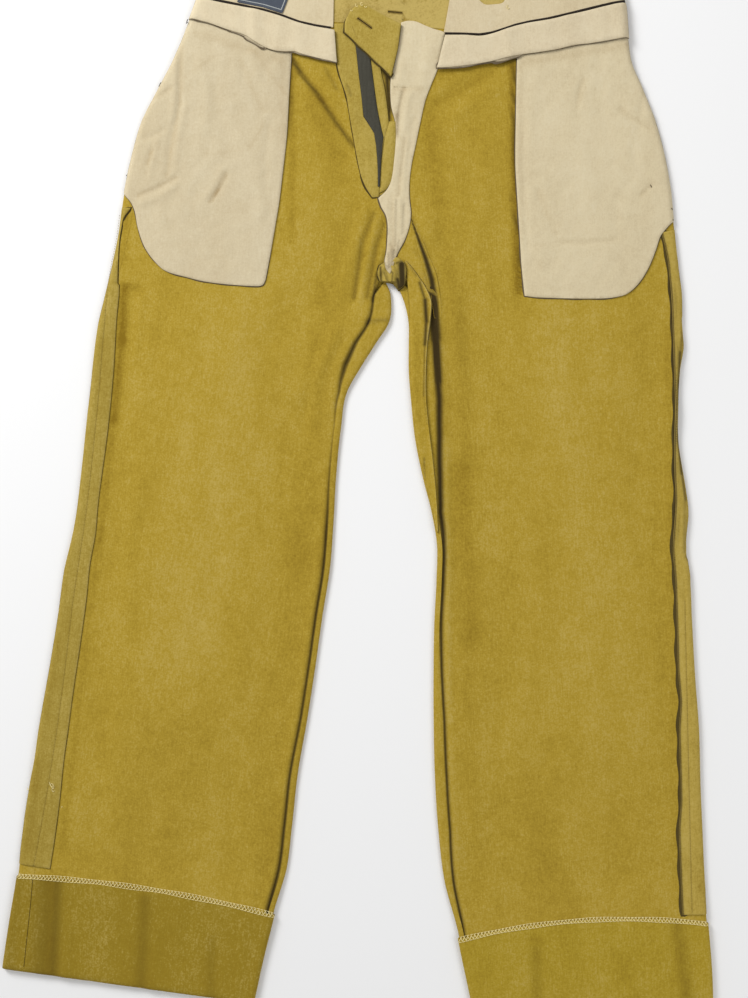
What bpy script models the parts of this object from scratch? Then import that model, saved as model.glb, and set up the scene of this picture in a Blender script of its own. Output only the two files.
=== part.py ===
"""Casual trousers in olive twill, turned inside out and laid flat with the front upwards.

Each leg is a flat tube. Its back panel lies on the ground, turns up round both sides and
ends at the seams; its front panel closes the tube between the seams. What is sewn on the
inside of the cloth, such as pocket bags, seam allowances, waistband lining and hems, lies
outside here, because the garment is inside out: it is made from the panel's own points,
moved out along the cloth's outward direction.

Tables are in millimetres: "across" from the left end of the ground the garment lies on,
"down" from a line 45 mm below the waistband's highest corner, "up" from the ground.
"""
import math
from collections import namedtuple

import bmesh
import bpy
from mathutils import Vector

MM = 0.001
CENTRE_ACROSS = 358.0
CENTRE_DOWN = 493.2

# Cloth and the clearance between pieces
TWILL = 1.2
COTTON = 1.0
BAG = 1.2
WAISTBAND = 1.6
WAISTBAND_ABOVE = 0.4
GAP = 0.3
PLY_STEP = TWILL + GAP
HOLLOW_LEAST = 0.7
HOLLOW_MOST = 3.8

# How the cloth turns round the sides of the flat tube
TURN_TOP = 5.0
TURN_UNDER = 2.5
TURN_RUN = 12.0
FRONT_COLUMNS = 9
UNDER_COLUMNS = 3
SPLIT_ANGLE = 4

WAIST_DEPTH = 40.0
PIPING_WIDTH = 3.0

OLIVE = (0.39, 0.27, 0.035, 1.0)
OLIVE_DARK = (0.33, 0.23, 0.03, 1.0)
CREAM = (0.64, 0.54, 0.36, 1.0)
BLACK_BROWN = (0.03, 0.02, 0.012, 1.0)
TAPE_GREY = (0.07, 0.07, 0.06, 1.0)
LABEL_GREY = (0.07, 0.085, 0.11, 1.0)

# One row for each section across a leg, from the waistband's top edge to the hem's foot.
# bow: how far its middle sags below the straight line. side_seam and inseam: from the
# tube's outer and inner side to the seam on top. wrap: the back turns up round the inner
# side. lift: what lies under the back there. hollow: air between back and front. more: what
# the tube holds besides the two plies, 0 but for the hems.
Row = namedtuple("Row", "outer_across outer_down inner_across inner_down bow"
                        " side_seam inseam wrap lift hollow more", defaults=(0,))

LEFT_ROWS = [Row(*values) for values in (
    (211, -44, 404, -9, 9, 12, 0, 0, 1.5, 1.6),
    (197, -4, 402, 25, 8, 12, 0, 0, 1.5, 1.6),
    (173, 58, 393.5, 66, 4, 12, 0, 0, 1.5, 1.8),
    (158, 88, 390, 92, 2, 12, 0, 0, 0.8, 2.0),
    (142.4, 120, 389, 120, 0, 12, 0, 0, 0, 2.2),
    (132, 155, 381.5, 155, 0, 12, 0, 0, 0, 2.2),
    (124.5, 190, 378.5, 190, 0, 12, 0, 0, 0, 2.0),
    (122.2, 205, 379.5, 205, 0, 12, 0, 0, 0, 2.0),
    (117.8, 238, 386, 238, 0, 10, 0, 0, 0, 2.0),
    (111.5, 268, 385, 268, 0, 9, 0, 0, 0, 2.0),
    (105, 296, 391, 296, 0, 9, 18, 1, 0, 2.0),
    (99, 321, 389.5, 321, 0, 10, 21, 1, 0, 2.2),
    (95.3, 343, 376, 343, 0, 10, 21, 1, 0, 2.2),
    (92.9, 366, 361.5, 366, 0, 10.5, 17, 1, 0, 2.2),
    (90.2, 392, 347, 392, 0, 11, 8, 1, 0, 2.2),
    (86, 428, 341, 428, 0, 11, 7, 1, 0, 2.2),
    (81, 476, 336.2, 476, 0, 11, 7, 1, 0, 2.2),
    (75, 523, 333.5, 523, 0, 12, 7, 1, 0, 2.2),
    (64.7, 568, 330, 568, 0, 13, 7, 1, 0, 2.2),
    (58, 616, 322.5, 616, 0, 13.5, 7, 1, 0, 2.2),
    (50, 665, 315.5, 666, 0, 15, 7, 1, 0, 2.2),
    (41.3, 714, 307.5, 718, 0, 17, 7, 1, 0, 2.2),
    (32.6, 768, 297.5, 776, 0, 17.5, 8, 1, 0, 2.2),
    (25.3, 812, 291.8, 828, -1, 18, 8, 1, 0, 2.0),
    (20.6, 848, 286, 872, -2, 18, 8, 1, 0, 1.8),
    (17.5, 869, 276.4, 908, -5, 18, 8, 1, 1.5, 1.6),
    (16.5, 876, 274.7, 915, -5, 18, 8, 1, 1.5, 1.6),
    (8.6, 924, 263.5, 960, -3, 20, 8, 1, 1.5, 1.6),
    (2, 968, 254, 1003, 0, 22, 8, 1, 1.5, 1.6),
)]

RIGHT_ROWS = [Row(*values) for values in (
    (617, -40, 404, -9, 14, 12, 0, 0, 1.5, 1.6),
    (626, 1, 402, 25, 15, 12, 0, 0, 1.5, 1.6),
    (633, 63, 393.5, 66, 5, 12, 0, 0, 1.5, 1.8),
    (643, 88, 390, 92, 2, 12, 0, 0, 0.8, 2.0),
    (655, 120, 389, 120, 0, 12, 0, 0, 0, 2.2),
    (664.5, 155, 381.5, 155, 0, 12, 0, 0, 0, 2.2),
    (670.7, 190, 378.5, 190, 0, 12, 0, 0, 0, 2.0),
    (672.2, 205, 379.5, 205, 0, 12, 0, 0, 0, 2.0),
    (675.3, 238, 386, 238, 0, 8, 0, 0, 0, 2.0),
    (678.5, 268, 385, 268, 0, 7, 0, 0, 0, 2.0),
    (681.8, 296, 402, 296, 0, 7, 29, 1, 0, 2.0),
    (682.3, 321, 408.4, 321, 0, 7, 26, 1, 0, 2.2),
    (683.6, 345, 408.7, 345, 0, 7, 28, 1, 0, 2.2),
    (680, 370, 408.7, 370, 0, 7, 29.5, 1, 0, 2.2),
    (678, 400, 411, 400, 0, 7, 29, 1, 0, 2.2),
    (677.8, 436, 414.7, 436, 0, 7, 25.5, 1, 0, 2.2),
    (684, 478, 423, 478, 0, 8, 17.7, 1, 0, 2.2),
    (688.3, 512, 431.6, 512, 0, 8, 9.5, 1, 0, 2.2),
    (686, 545, 437, 545, 0, 8, 7, 1, 0, 2.2),
    (690.3, 578, 436.6, 578, 0, 8.5, 7, 1, 0, 2.2),
    (692.5, 625, 434.3, 625, 0, 9, 7, 1, 0, 2.2),
    (695, 672, 433.6, 672, 0, 9, 8.5, 1, 0, 2.2),
    (698.6, 720, 433.7, 722, 0, 10, 11, 1, 0, 2.2),
    (700.5, 775, 435, 778, 0, 11, 12, 1, 0, 2.2),
    (702.4, 825, 438.3, 830, -3, 12, 12, 1, 0, 2.0),
    (704.8, 876, 445, 884, -6, 13, 9, 1, 0, 1.8),
    (707.8, 916, 456.5, 932, -10, 14, 7, 1, 1.5, 1.6),
    (708.4, 923, 457.8, 939, -11, 14, 7, 1, 1.5, 1.6),
    (712.2, 970, 467, 983, -9, 14, 7, 1, 1.5, 1.6),
    (714, 1020, 477, 1030, -7, 14, 7, 1, 1.5, 1.6),
)]
WAIST_SEAM = 1
CURTAIN_END = 2
HEM_LINE = -3

# The largest folds of the fronts: a soft ridge or trough along each line
Fold = namedtuple("Fold", "across down to_across to_down half_width height")
FOLDS = [Fold(*values) for values in (
    (301, 80, 348, 140, 13, -1.5),
    (312, 70, 352, 112, 12, 1.0),
    (292, 112, 322, 190, 16, 1.0),
    (232, 330, 186, 700, 46, 1.5),
    (132, 300, 92, 760, 15, -1.1),
    (300, 400, 262, 820, 26, -0.9),
    (368, 296, 300, 392, 13, 1.4),
    (352, 226, 288, 330, 17, -1.0),
    (150, 560, 120, 840, 22, 0.9),
    (562, 330, 600, 730, 46, 1.5),
    (486, 330, 506, 830, 24, -0.9),
    (652, 330, 668, 800, 15, -0.9),
    (424, 222, 446, 330, 11, 1.3),
    (440, 250, 512, 352, 17, -0.8),
    (470, 90, 436, 112, 11, -0.9),
    (452, 560, 470, 840, 14, 0.9),
)]

collection = None
cutters = None


def to_world(place):
    """A place given as across, down and up in millimetres, in metres in the part's frame."""
    across, down, up = place
    return Vector(((across - CENTRE_ACROSS) * MM, (CENTRE_DOWN - down) * MM, up * MM))


def fold_height(across, down):
    total = 0.0
    for fold in FOLDS:
        run_across = fold.to_across - fold.across
        run_down = fold.to_down - fold.down
        length_squared = run_across ** 2 + run_down ** 2
        share = ((across - fold.across) * run_across + (down - fold.down) * run_down) / length_squared
        share = min(1.0, max(0.0, share))
        away = math.hypot(across - fold.across - share * run_across, down - fold.down - share * run_down)
        total += fold.height * math.exp(-(away / fold.half_width) ** 2)
    return total


def mix_rows(first, second, share):
    """The section that lies between two rows."""
    return Row(*(a + (b - a) * share for a, b in zip(first, second)))


def row_width(row):
    return math.hypot(row.inner_across - row.outer_across, row.inner_down - row.outer_down)


def inward(row):
    """Level direction from the tube's outer side to its inner side."""
    width = row_width(row)
    return Vector(((row.inner_across - row.outer_across) / width, (row.inner_down - row.outer_down) / width, 0))


def place_along(row, distance, up):
    share = distance / row_width(row)
    across = row.outer_across + (row.inner_across - row.outer_across) * share
    down = row.outer_down + (row.inner_down - row.outer_down) * share + 4 * row.bow * share * (1 - share)
    return Vector((across, down, up))


def top_height(row, distance):
    """Height of the front's upper surface."""
    place = place_along(row, distance, 0)
    hollow = row.hollow + fold_height(place.x, place.y)
    return row.lift + 2 * TWILL + row.more + min(HOLLOW_MOST, max(HOLLOW_LEAST, hollow))


def top_point(row, distance):
    return place_along(row, distance, top_height(row, distance)), Vector((0, 0, 1))


def under_point(row, distance):
    return place_along(row, distance, row.lift), Vector((0, 0, -1))


def turn_point(row, degrees, inner=False):
    """A point where the cloth turns round a side: 90 is on top, 0 at the side, -90 below."""
    angle = math.radians(degrees)
    radius = TURN_TOP if degrees > 0 else TURN_UNDER
    distance = row.lift + radius * (1 - math.cos(angle))
    out = -inward(row)
    if inner:
        distance = row_width(row) - distance
        out = inward(row)
    top = top_height(row, distance)
    middle = (row.lift + top) / 2
    up = middle + (top - middle) * math.sin(angle)
    return place_along(row, distance, up), out * math.cos(angle) + Vector((0, 0, math.sin(angle)))


def front_distances(row):
    first = row.side_seam + GAP / 2
    last = row_width(row) - row.inseam - GAP / 2
    return [first + (last - first) * step / FRONT_COLUMNS for step in range(FRONT_COLUMNS + 1)]


def front_path(row):
    return [top_point(row, distance) for distance in front_distances(row)]


def under_run(row):
    """Points on the underside between its two turns."""
    first = row.lift + TURN_RUN
    last = row_width(row) - TURN_RUN - row.lift
    return [under_point(row, first + (last - first) * step / UNDER_COLUMNS) for step in range(UNDER_COLUMNS + 1)]


def back_path(row):
    """From the side seam on top, round the outer side, below, and up to the inseam."""
    path = [top_point(row, row.side_seam - GAP / 2)]
    path += [turn_point(row, degrees) for degrees in (90, 70, 40, 0, -45, -90)]
    path += under_run(row)
    width = row_width(row)
    if row.wrap:
        path += [turn_point(row, degrees, inner=True) for degrees in (-90, -45, 0, 40, 70, 90)]
        path.append(top_point(row, width - row.inseam + GAP / 2))
    else:
        flat_steps = 7
        reach = TURN_RUN - GAP / 2
        path += [under_point(row, width - GAP / 2 - reach * (1 - step / flat_steps))
                 for step in range(1, flat_steps + 1)]
    return path


def cover_path(row, first_angle=0):
    """The front's own points and the turn beside them, for what lies on the garment."""
    path = [turn_point(row, degrees) for degrees in (first_angle, 40, 70, 90)]
    path.append(top_point(row, row.side_seam))
    return path + [top_point(row, distance) for distance in front_distances(row)[1:]]


def band_cover_path(row):
    return cover_path(row, first_angle=SPLIT_ANGLE)


def seam_cover_path(row):
    """Like cover_path, but it stays on top of the side."""
    return cover_path(row)[1:]


def inner_cover_path(row):
    """The back's stretch that shows on top beside the inseam."""
    path = [turn_point(row, degrees, inner=True) for degrees in (40, 70, 90)]
    path.append(top_point(row, row_width(row) - row.inseam + GAP / 2))
    return path


def hem_front_path(row):
    path = band_cover_path(row)
    return path + [turn_point(row, degrees, inner=True) for degrees in (90, 70, 40, SPLIT_ANGLE)]


def hem_back_path(row):
    path = [turn_point(row, degrees) for degrees in (-SPLIT_ANGLE, -45, -90)]
    path += under_run(row)
    return path + [turn_point(row, degrees, inner=True) for degrees in (-90, -45, -SPLIT_ANGLE)]


def waist_under_path(left_row, right_row):
    """The underside of the waist from the left side to the right side."""
    path = [turn_point(left_row, degrees) for degrees in (-SPLIT_ANGLE, -45, -90)]
    path += under_run(left_row)
    path.append(under_point(left_row, row_width(left_row)))
    path += reversed(under_run(right_row))
    return path + [turn_point(right_row, degrees) for degrees in (-90, -45, -SPLIT_ANGLE)]


def material(name, colour, roughness):
    made = bpy.data.materials.new(name)
    made.use_nodes = True
    shader = made.node_tree.nodes["Principled BSDF"]
    shader.inputs["Base Color"].default_value = colour
    shader.inputs["Roughness"].default_value = roughness
    made.diffuse_color = colour
    return made


def add_object(name, mesh, colour, roughness=0.85):
    made = bpy.data.objects.new(name, mesh)
    collection.objects.link(made)
    mesh.materials.append(material(name + "_cloth", colour, roughness))
    return made


def wall(name, paths, low, high, colour):
    """A sheet of cloth through the paths, from low to high along their outward directions."""
    mesh = bpy.data.meshes.new(name)
    shape = bmesh.new()
    layers = []
    for offset in (low, high):
        layers.append([[shape.verts.new(to_world(place + out * offset)) for place, out in path]
                       for path in paths])
    under, over = layers
    last_row = len(paths) - 1
    last_column = len(paths[0]) - 1
    for row in range(last_row):
        for column in range(last_column):
            near, far = (row, column), (row + 1, column + 1)
            for corner in ((row + 1, column), (row, column + 1)):
                for layer in (over, under):
                    shape.faces.new([layer[r][c] for r, c in (near, corner, far)])
    for row in range(last_row):
        for column in (0, last_column):
            shape.faces.new((under[row][column], under[row + 1][column],
                             over[row + 1][column], over[row][column]))
    for column in range(last_column):
        for row in (0, last_row):
            shape.faces.new((under[row][column], under[row][column + 1],
                             over[row][column + 1], over[row][column]))
    bmesh.ops.recalc_face_normals(shape, faces=shape.faces[:])
    shape.to_mesh(mesh)
    shape.free()
    return add_object(name, mesh, colour)


def clip(piece, outline):
    """Keeps what lies inside an outline given as across and down."""
    mesh = bpy.data.meshes.new(piece.name + "_outline")
    shape = bmesh.new()
    low_up, high_up = -5.0, 30.0
    corners = [shape.verts.new(to_world((across, down, low_up))) for across, down in outline]
    face = shape.faces.new(corners)
    raised = bmesh.ops.extrude_face_region(shape, geom=[face])["geom"]
    moved = [item for item in raised if isinstance(item, bmesh.types.BMVert)]
    bmesh.ops.translate(shape, verts=moved, vec=Vector((0, 0, (high_up - low_up) * MM)))
    bmesh.ops.recalc_face_normals(shape, faces=shape.faces[:])
    shape.to_mesh(mesh)
    shape.free()
    cutter = bpy.data.objects.new(piece.name + "_outline", mesh)
    cutters.objects.link(cutter)
    cutter.hide_render = True
    cutter.display_type = "WIRE"
    cut = piece.modifiers.new("outline", "BOOLEAN")
    cut.operation = "INTERSECT"
    cut.object = cutter
    return piece


def curve_through(points, steps=3):
    """A smooth line through a few points of an outline."""
    ends = [points[0]] + list(points) + [points[-1]]
    line = []
    for index in range(1, len(ends) - 2):
        before, start, stop, after = (Vector(point) for point in ends[index - 1:index + 3])
        for step in range(steps):
            share = step / steps
            bend = (2 * start + (stop - before) * share
                    + (2 * before - 5 * start + 4 * stop - after) * share ** 2
                    + (3 * start - before - 3 * stop + after) * share ** 3) * 0.5
            line.append(tuple(bend))
    return line + [tuple(points[-1])]


def lay_on(name, rows, outline, low, high, colour, path=cover_path):
    """A piece that lies on the garment: the rows' points moved out, inside its outline."""
    return clip(wall(name, [path(row) for row in rows], low, high, colour), outline)


def make_panels():
    for side, rows in (("left", LEFT_ROWS), ("right", RIGHT_ROWS)):
        first = mix_rows(rows[WAIST_SEAM], rows[WAIST_SEAM + 1], GAP / 2 / WAIST_DEPTH)
        leg = [first] + rows[WAIST_SEAM + 1:]
        wall("back_" + side, [back_path(row) for row in leg], -TWILL, 0, OLIVE)
        wall("front_" + side, [front_path(row) for row in leg], -TWILL, 0, OLIVE)


def make_hems():
    """The turn-up, a ply all round the foot of each leg, in a front half and a back half."""
    for side, rows in (("left", LEFT_ROWS), ("right", RIGHT_ROWS)):
        band = [row._replace(lift=0, more=2 * PLY_STEP) for row in rows[HEM_LINE:]]
        wall("hem_front_" + side, [hem_front_path(row) for row in band], -TWILL, 0, OLIVE)
        wall("hem_back_" + side, [hem_back_path(row) for row in band], -TWILL, 0, OLIVE)


def waist_rows(rows, *shares):
    """Sections of the waistband, from its top edge, 0, to the waist seam, 1."""
    return [mix_rows(rows[0], rows[WAIST_SEAM], share) for share in shares]


def make_waistband():
    seam = 1 - GAP / 2 / WAIST_DEPTH
    piping_top = seam - PIPING_WIDTH / WAIST_DEPTH
    lining_end = piping_top - GAP / WAIST_DEPTH
    ends = {"left": 333.5, "right": 448.0}
    for side, rows in (("left", LEFT_ROWS), ("right", RIGHT_ROWS)):
        band = [band_cover_path(row) for row in waist_rows(rows, 0, 0.5, seam)]
        wall("waistband_" + side, band, -TWILL, WAISTBAND_ABOVE, OLIVE)
        outside = 180 if side == "left" else 650
        outline = ((outside, -90), (ends[side], -90), (ends[side], 90), (outside, 90))
        low = WAISTBAND_ABOVE + GAP
        lay_on("waistband_lining_" + side, waist_rows(rows, 0, 0.5, lining_end), outline,
               low, low + COTTON, CREAM, seam_cover_path)
        lay_on("piping_" + side, waist_rows(rows, piping_top, seam), outline,
               low, low + 1.5 * COTTON, BLACK_BROWN, seam_cover_path)

    pairs = list(zip(waist_rows(LEFT_ROWS, 0, 0.5, seam), waist_rows(RIGHT_ROWS, 0, 0.5, seam)))
    under = [waist_under_path(left, right) for left, right in pairs]
    wall("back_waistband", under, -WAISTBAND, 0, OLIVE)
    flat = [path[2:-2] for path in under]
    wall("back_waistband_lining", flat, GAP, GAP + TWILL, CREAM)
    seam_pair = [mix_rows(rows[WAIST_SEAM], rows[CURTAIN_END], GAP / 2 / WAIST_DEPTH)
                 for rows in (LEFT_ROWS, RIGHT_ROWS)]
    end_pair = [mix_rows(rows[WAIST_SEAM], rows[CURTAIN_END], 0.8) for rows in (LEFT_ROWS, RIGHT_ROWS)]
    curtain = [waist_under_path(*pair)[2:-2] for pair in (seam_pair, end_pair)]
    wall("back_curtain", curtain, GAP, GAP + TWILL, CREAM)


def make_curtains():
    """The loose cream flap under the piping, over the pocket bags."""
    low = GAP + BAG + GAP
    left_edge = curve_through(((180, 15), (191, 19), (231, 32), (262, 46), (282, 53), (300, 55), (336, 63.6)))
    right_edge = curve_through(((441, 69), (462, 67), (491, 62.5), (535, 54), (590, 44.6), (642, 35.5)))
    lay_on("curtain_left", trunk_rows(LEFT_ROWS), left_edge + [(334.5, -20), (180, -60)], low, low + COTTON, CREAM)
    lay_on("curtain_right", trunk_rows(RIGHT_ROWS), right_edge + [(642, -60), (447.5, -20)],
           low, low + COTTON, CREAM)


def trunk_rows(rows):
    """The rows from the waist seam to below the pocket bags."""
    first = mix_rows(rows[WAIST_SEAM], rows[WAIST_SEAM + 1], GAP / 2 / WAIST_DEPTH)
    return [first] + rows[WAIST_SEAM + 1:13]


def make_pocket_bags():
    left = curve_through(((118, 182), (124, 190), (133, 206), (139, 229), (148, 252), (166, 271), (192, 279),
                          (234, 285), (261, 286)))
    left += [(265, 280)] + curve_through(((270.3, 254), (279, 203), (286.5, 138), (289.4, 86), (292, 15)))
    left += [(180, -60), (150, 40), (112, 150)]
    right = [(516, 15)] + curve_through(((517, 57), (515.5, 115), (515.5, 163), (520, 239), (524.7, 296)))
    right += [(564, 298.5)] + curve_through(((602, 298.5), (627, 294), (640, 281), (651, 261), (660, 237),
                                             (669, 226), (682, 216)))
    right += [(690, 120), (650, -40)]
    lay_on("pocket_bag_left", trunk_rows(LEFT_ROWS), left, GAP, GAP + BAG, CREAM)
    lay_on("pocket_bag_right", trunk_rows(RIGHT_ROWS), right, GAP, GAP + BAG, CREAM)


def make_fly():
    trunk_left = trunk_rows(LEFT_ROWS)
    trunk_right = trunk_rows(RIGHT_ROWS)
    facing = [(335.2, 15)] + curve_through(((336, 55), (340.8, 84), (346.9, 95), (348, 115), (353.7, 138),
                                            (358, 161), (363, 181), (371, 196)))
    facing += [(378, 197)] + curve_through(((378.6, 178), (380.5, 155), (387.5, 124), (386.5, 103), (381.4, 71),
                                            (379, 15)))
    lay_on("fly_facing", trunk_left, facing, GAP, GAP + COTTON, OLIVE_DARK)

    tape_low = GAP + COTTON + GAP
    tape = curve_through(((352, 27), (356, 47), (362.3, 96), (366, 122), (373.5, 136), (376.5, 155), (377, 188)))
    tape += curve_through(((379.3, 188), (380.4, 164), (380.4, 138), (375.7, 107), (370, 62), (366, 27)))
    lay_on("zip_tape", trunk_left, tape, tape_low, tape_low + COTTON, TAPE_GREY)

    extension = [(395.5, 122), (388.8, 121)] + curve_through(((383, 138), (380.6, 164), (379.4, 196)))
    extension += [(386.2, 189.5)] + curve_through(((390.6, 182), (394.3, 153), (395.3, 134)))
    lay_on("fly_extension", trunk_right, extension, GAP, GAP + COTTON, OLIVE_DARK)

    shield = [(391.4, 76)] + curve_through(((390.6, 88), (391.4, 107), (395.9, 122), (396.3, 134), (395.2, 153),
                                            (391.5, 182), (387, 190.4), (380.2, 198.6)))
    shield += curve_through(((382, 207), (386.8, 216), (388.2, 230), (386.8, 252), (386.5, 262)))
    shield += [(392, 269)] + curve_through(((397.5, 252), (405, 240), (410.5, 214), (408.5, 184), (415, 145),
                                            (424.4, 101), (437, 69), (444, 34)))
    shield += [(446, 10), (402.5, 10)]
    lay_on("fly_shield", trunk_right, shield, GAP, GAP + COTTON, CREAM)

    tab_low = tape_low + COTTON + GAP
    tab = curve_through(((345, 33.5), (346, 24), (351, 13), (357.5, 7.5), (366, 7), (377, 14), (400.5, 26)))
    tab += [(397, 50), (390.5, 76.5)]
    lay_on("fly_tab", LEFT_ROWS[:6], tab, tab_low, tab_low + TWILL, OLIVE)


def make_seam_allowances():
    """The pressed-open allowances, which lie across each side seam, and the right inseam's."""
    outer = curve_through(((118, 206), (112, 240), (100, 286), (88, 343), (80, 420), (70, 500), (52, 590),
                           (35, 700), (15, 820), (5, 863)))
    inner = curve_through(((54, 866), (63, 766), (74, 686), (87, 594), (97.5, 510), (106, 443), (113.5, 369),
                           (118.4, 297), (117.4, 282), (119.8, 239), (123.7, 218), (129, 211)))
    lay_on("side_seam_left", LEFT_ROWS[7:26], outer + inner, GAP, GAP + TWILL, OLIVE, seam_cover_path)
    outer = curve_through(((683, 232), (695, 400), (705, 600), (715, 800), (718, 911)))
    inner = curve_through(((682.3, 911), (680.5, 860), (681, 740), (678, 660), (673, 550), (676, 500), (674.6, 400),
                           (673, 322), (668, 261), (662.5, 236)))
    lay_on("side_seam_right", RIGHT_ROWS[8:27], outer + inner, GAP, GAP + TWILL, OLIVE, seam_cover_path)
    raised = curve_through(((404, 300), (411, 322), (411.5, 393), (420, 460), (436.5, 528)))
    raised += curve_through(((438.5, 528), (437, 480), (430, 436), (425.8, 393), (425.8, 362), (430, 322), (430, 300)))
    lay_on("inseam_right", RIGHT_ROWS[10:19], raised, GAP, GAP + TWILL, OLIVE, inner_cover_path)


def make_crotch_fold():
    """The bunch of cloth where the four leg seams meet."""
    mesh = bpy.data.meshes.new("crotch_fold")
    shape = bmesh.new()
    bmesh.ops.create_uvsphere(shape, u_segments=16, v_segments=8, radius=1.0)
    across, down, half_width, half_length, half_height = 391.5, 276.0, 13.0, 15.0, 2.4
    pleats, pleat_depth, sole = 3, 0.8, -0.75
    base = LEFT_ROWS[9].hollow + 2 * TWILL + GAP + COTTON + 1.6 * GAP
    for vert in shape.verts:
        wave = math.cos(vert.co.x * math.pi * pleats) * pleat_depth * max(0.0, vert.co.z)
        level = max(sole, vert.co.z) - sole
        up = base + level * half_height + wave
        vert.co = to_world((across + vert.co.x * half_width, down - vert.co.y * half_length, up))
    shape.to_mesh(mesh)
    shape.free()
    add_object("crotch_fold", mesh, OLIVE_DARK)


def make_label():
    low = WAISTBAND_ABOVE + GAP + COTTON + GAP
    outline = ((231, -5.5), (281, 12.5), (291, -14), (241, -32))
    lay_on("label", waist_rows(LEFT_ROWS, 0, 0.5, 1), outline, low, low + COTTON, LABEL_GREY)


def main():
    global collection, cutters
    for item in list(bpy.data.objects):
        bpy.data.objects.remove(item, do_unlink=True)
    collection = bpy.data.collections.new("casual_trousers")
    cutters = bpy.data.collections.new("outlines")
    bpy.context.scene.collection.children.link(collection)
    bpy.context.scene.collection.children.link(cutters)
    make_panels()
    make_hems()
    make_waistband()
    make_pocket_bags()
    make_curtains()
    make_fly()
    make_seam_allowances()
    make_crotch_fold()
    make_label()


main()
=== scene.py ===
"""The looks of the casual trousers: cloth, seams, stitches and creases around the CAD part.

The garment lies front side up and inside out. Tables are in millimetres: "across" and "down"
on the ground it lies on, "up" from the ground. A leg is read by its run, the distance along
it from the waistband's top edge, and by the distance from its outer side.
"""

import math
from collections import namedtuple

import bpy
import numpy as np
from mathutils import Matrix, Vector
from mathutils.geometry import delaunay_2d_cdt


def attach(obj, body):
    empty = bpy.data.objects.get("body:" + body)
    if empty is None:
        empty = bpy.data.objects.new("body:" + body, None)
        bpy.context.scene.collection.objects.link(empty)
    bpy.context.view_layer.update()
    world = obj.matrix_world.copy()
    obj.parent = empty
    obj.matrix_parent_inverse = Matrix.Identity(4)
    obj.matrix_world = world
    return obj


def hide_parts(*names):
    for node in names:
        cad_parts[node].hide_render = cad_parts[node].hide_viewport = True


bl_info = {
    "name": "Casual trousers, inside out",
    "version": (1, 0, 0),
    "blender": (4, 5, 0),
    "location": "View3D > Sidebar > Trousers",
    "description": "Builds olive twill trousers that lie flat, turned inside out",
    "category": "Object",
}

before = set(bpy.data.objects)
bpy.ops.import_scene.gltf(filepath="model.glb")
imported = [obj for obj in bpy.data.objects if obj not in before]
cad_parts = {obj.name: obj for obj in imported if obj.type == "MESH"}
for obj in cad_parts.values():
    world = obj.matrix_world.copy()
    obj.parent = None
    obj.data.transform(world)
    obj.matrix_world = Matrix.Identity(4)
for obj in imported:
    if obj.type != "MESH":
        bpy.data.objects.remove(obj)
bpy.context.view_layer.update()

MM = 0.001
CENTRE_ACROSS = 358.0
CENTRE_DOWN = 493.2

# Cloth, and the clearance between pieces
TWILL = 1.2
COTTON = 1.0
BAG = 1.2
WAISTBAND = 1.6
WAISTBAND_ABOVE = 0.4
GAP = 0.3
PLY_STEP = TWILL + GAP
HOLLOW_LEAST = 0.7
HOLLOW_MOST = 3.8
TURN_TOP = 5.0
TURN_UNDER = 2.5
WAIST_DEPTH = 40.0
BAG_PUFF = 0.7
PIPING_WIDTH = 3.0

# Mesh sizes
RUN_STEP = 3.3
FRONT_COLUMNS = 82
UNDER_STEP = 6.0
FILL_STEP = 3.6
EDGE_STEP = 2.2
EDGE_ROUND = 0.35
FILL_ROWS = 0.87
FILL_MARGIN = 0.55
FIND_STEPS = 34

# How far a laid sheet's puff and lifted edge reach, its least lip, and the least light anywhere
PUFF_REACH = 9.0
LIFT_REACH = 5.0
LIP_LEAST = 0.38
SHADE_LEAST = 0.05
DARKEST = 0.97

# How light each ring of a laid sheet's edge is, from the top down
EDGE_SHADES = (0.85, 0.14, 0.1, 0.1)
SOFT_EDGE_SHADES = (1, 1, 1, 1)

# Where a cloth's turn round a side is cut, in degrees: 90 is on top, -90 below
TURN_DEGREES = (90, 75, 55, 35, 12, -12, -40, -65, -90)
TOP_DEGREES = (4, 20, 40, 60, 78, 90)
UNDER_DEGREES = (-4, -30, -60, -90)

# Threads' half widths, and how far apart a buttonhole's purls are
HEM_THREAD = 0.33
SEAM_THREAD = 0.17
PURL_THREAD = 0.2
LOOSE_THREAD = 0.27
DARK_THREAD = 0.34
SLIT_HALF = 0.55
PURL_PITCH = 0.75

# The curtain's start under the piping's middle, and how much lower it starts over the pocket bags
CURTAIN_START = 1.2
CURTAIN_DROP = 0.9

# The picture's height and middle, the camera's lens, and the floor
PICTURE_TALL = 998.0
PICTURE_MIDDLE = (374.0, 499.0, 4.0)
LENS = 50.0
SENSOR = 36.0
FLOOR_SIZE = 24.0
FLOOR_DROP = 0.0004


def named(kind, rows):
    """A table's rows with their columns by name."""
    return [kind(*row) for row in rows]


Row = namedtuple("Row", "outer_across outer_down inner_across inner_down bow"
                        " side_seam inseam wrap lift hollow")

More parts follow.
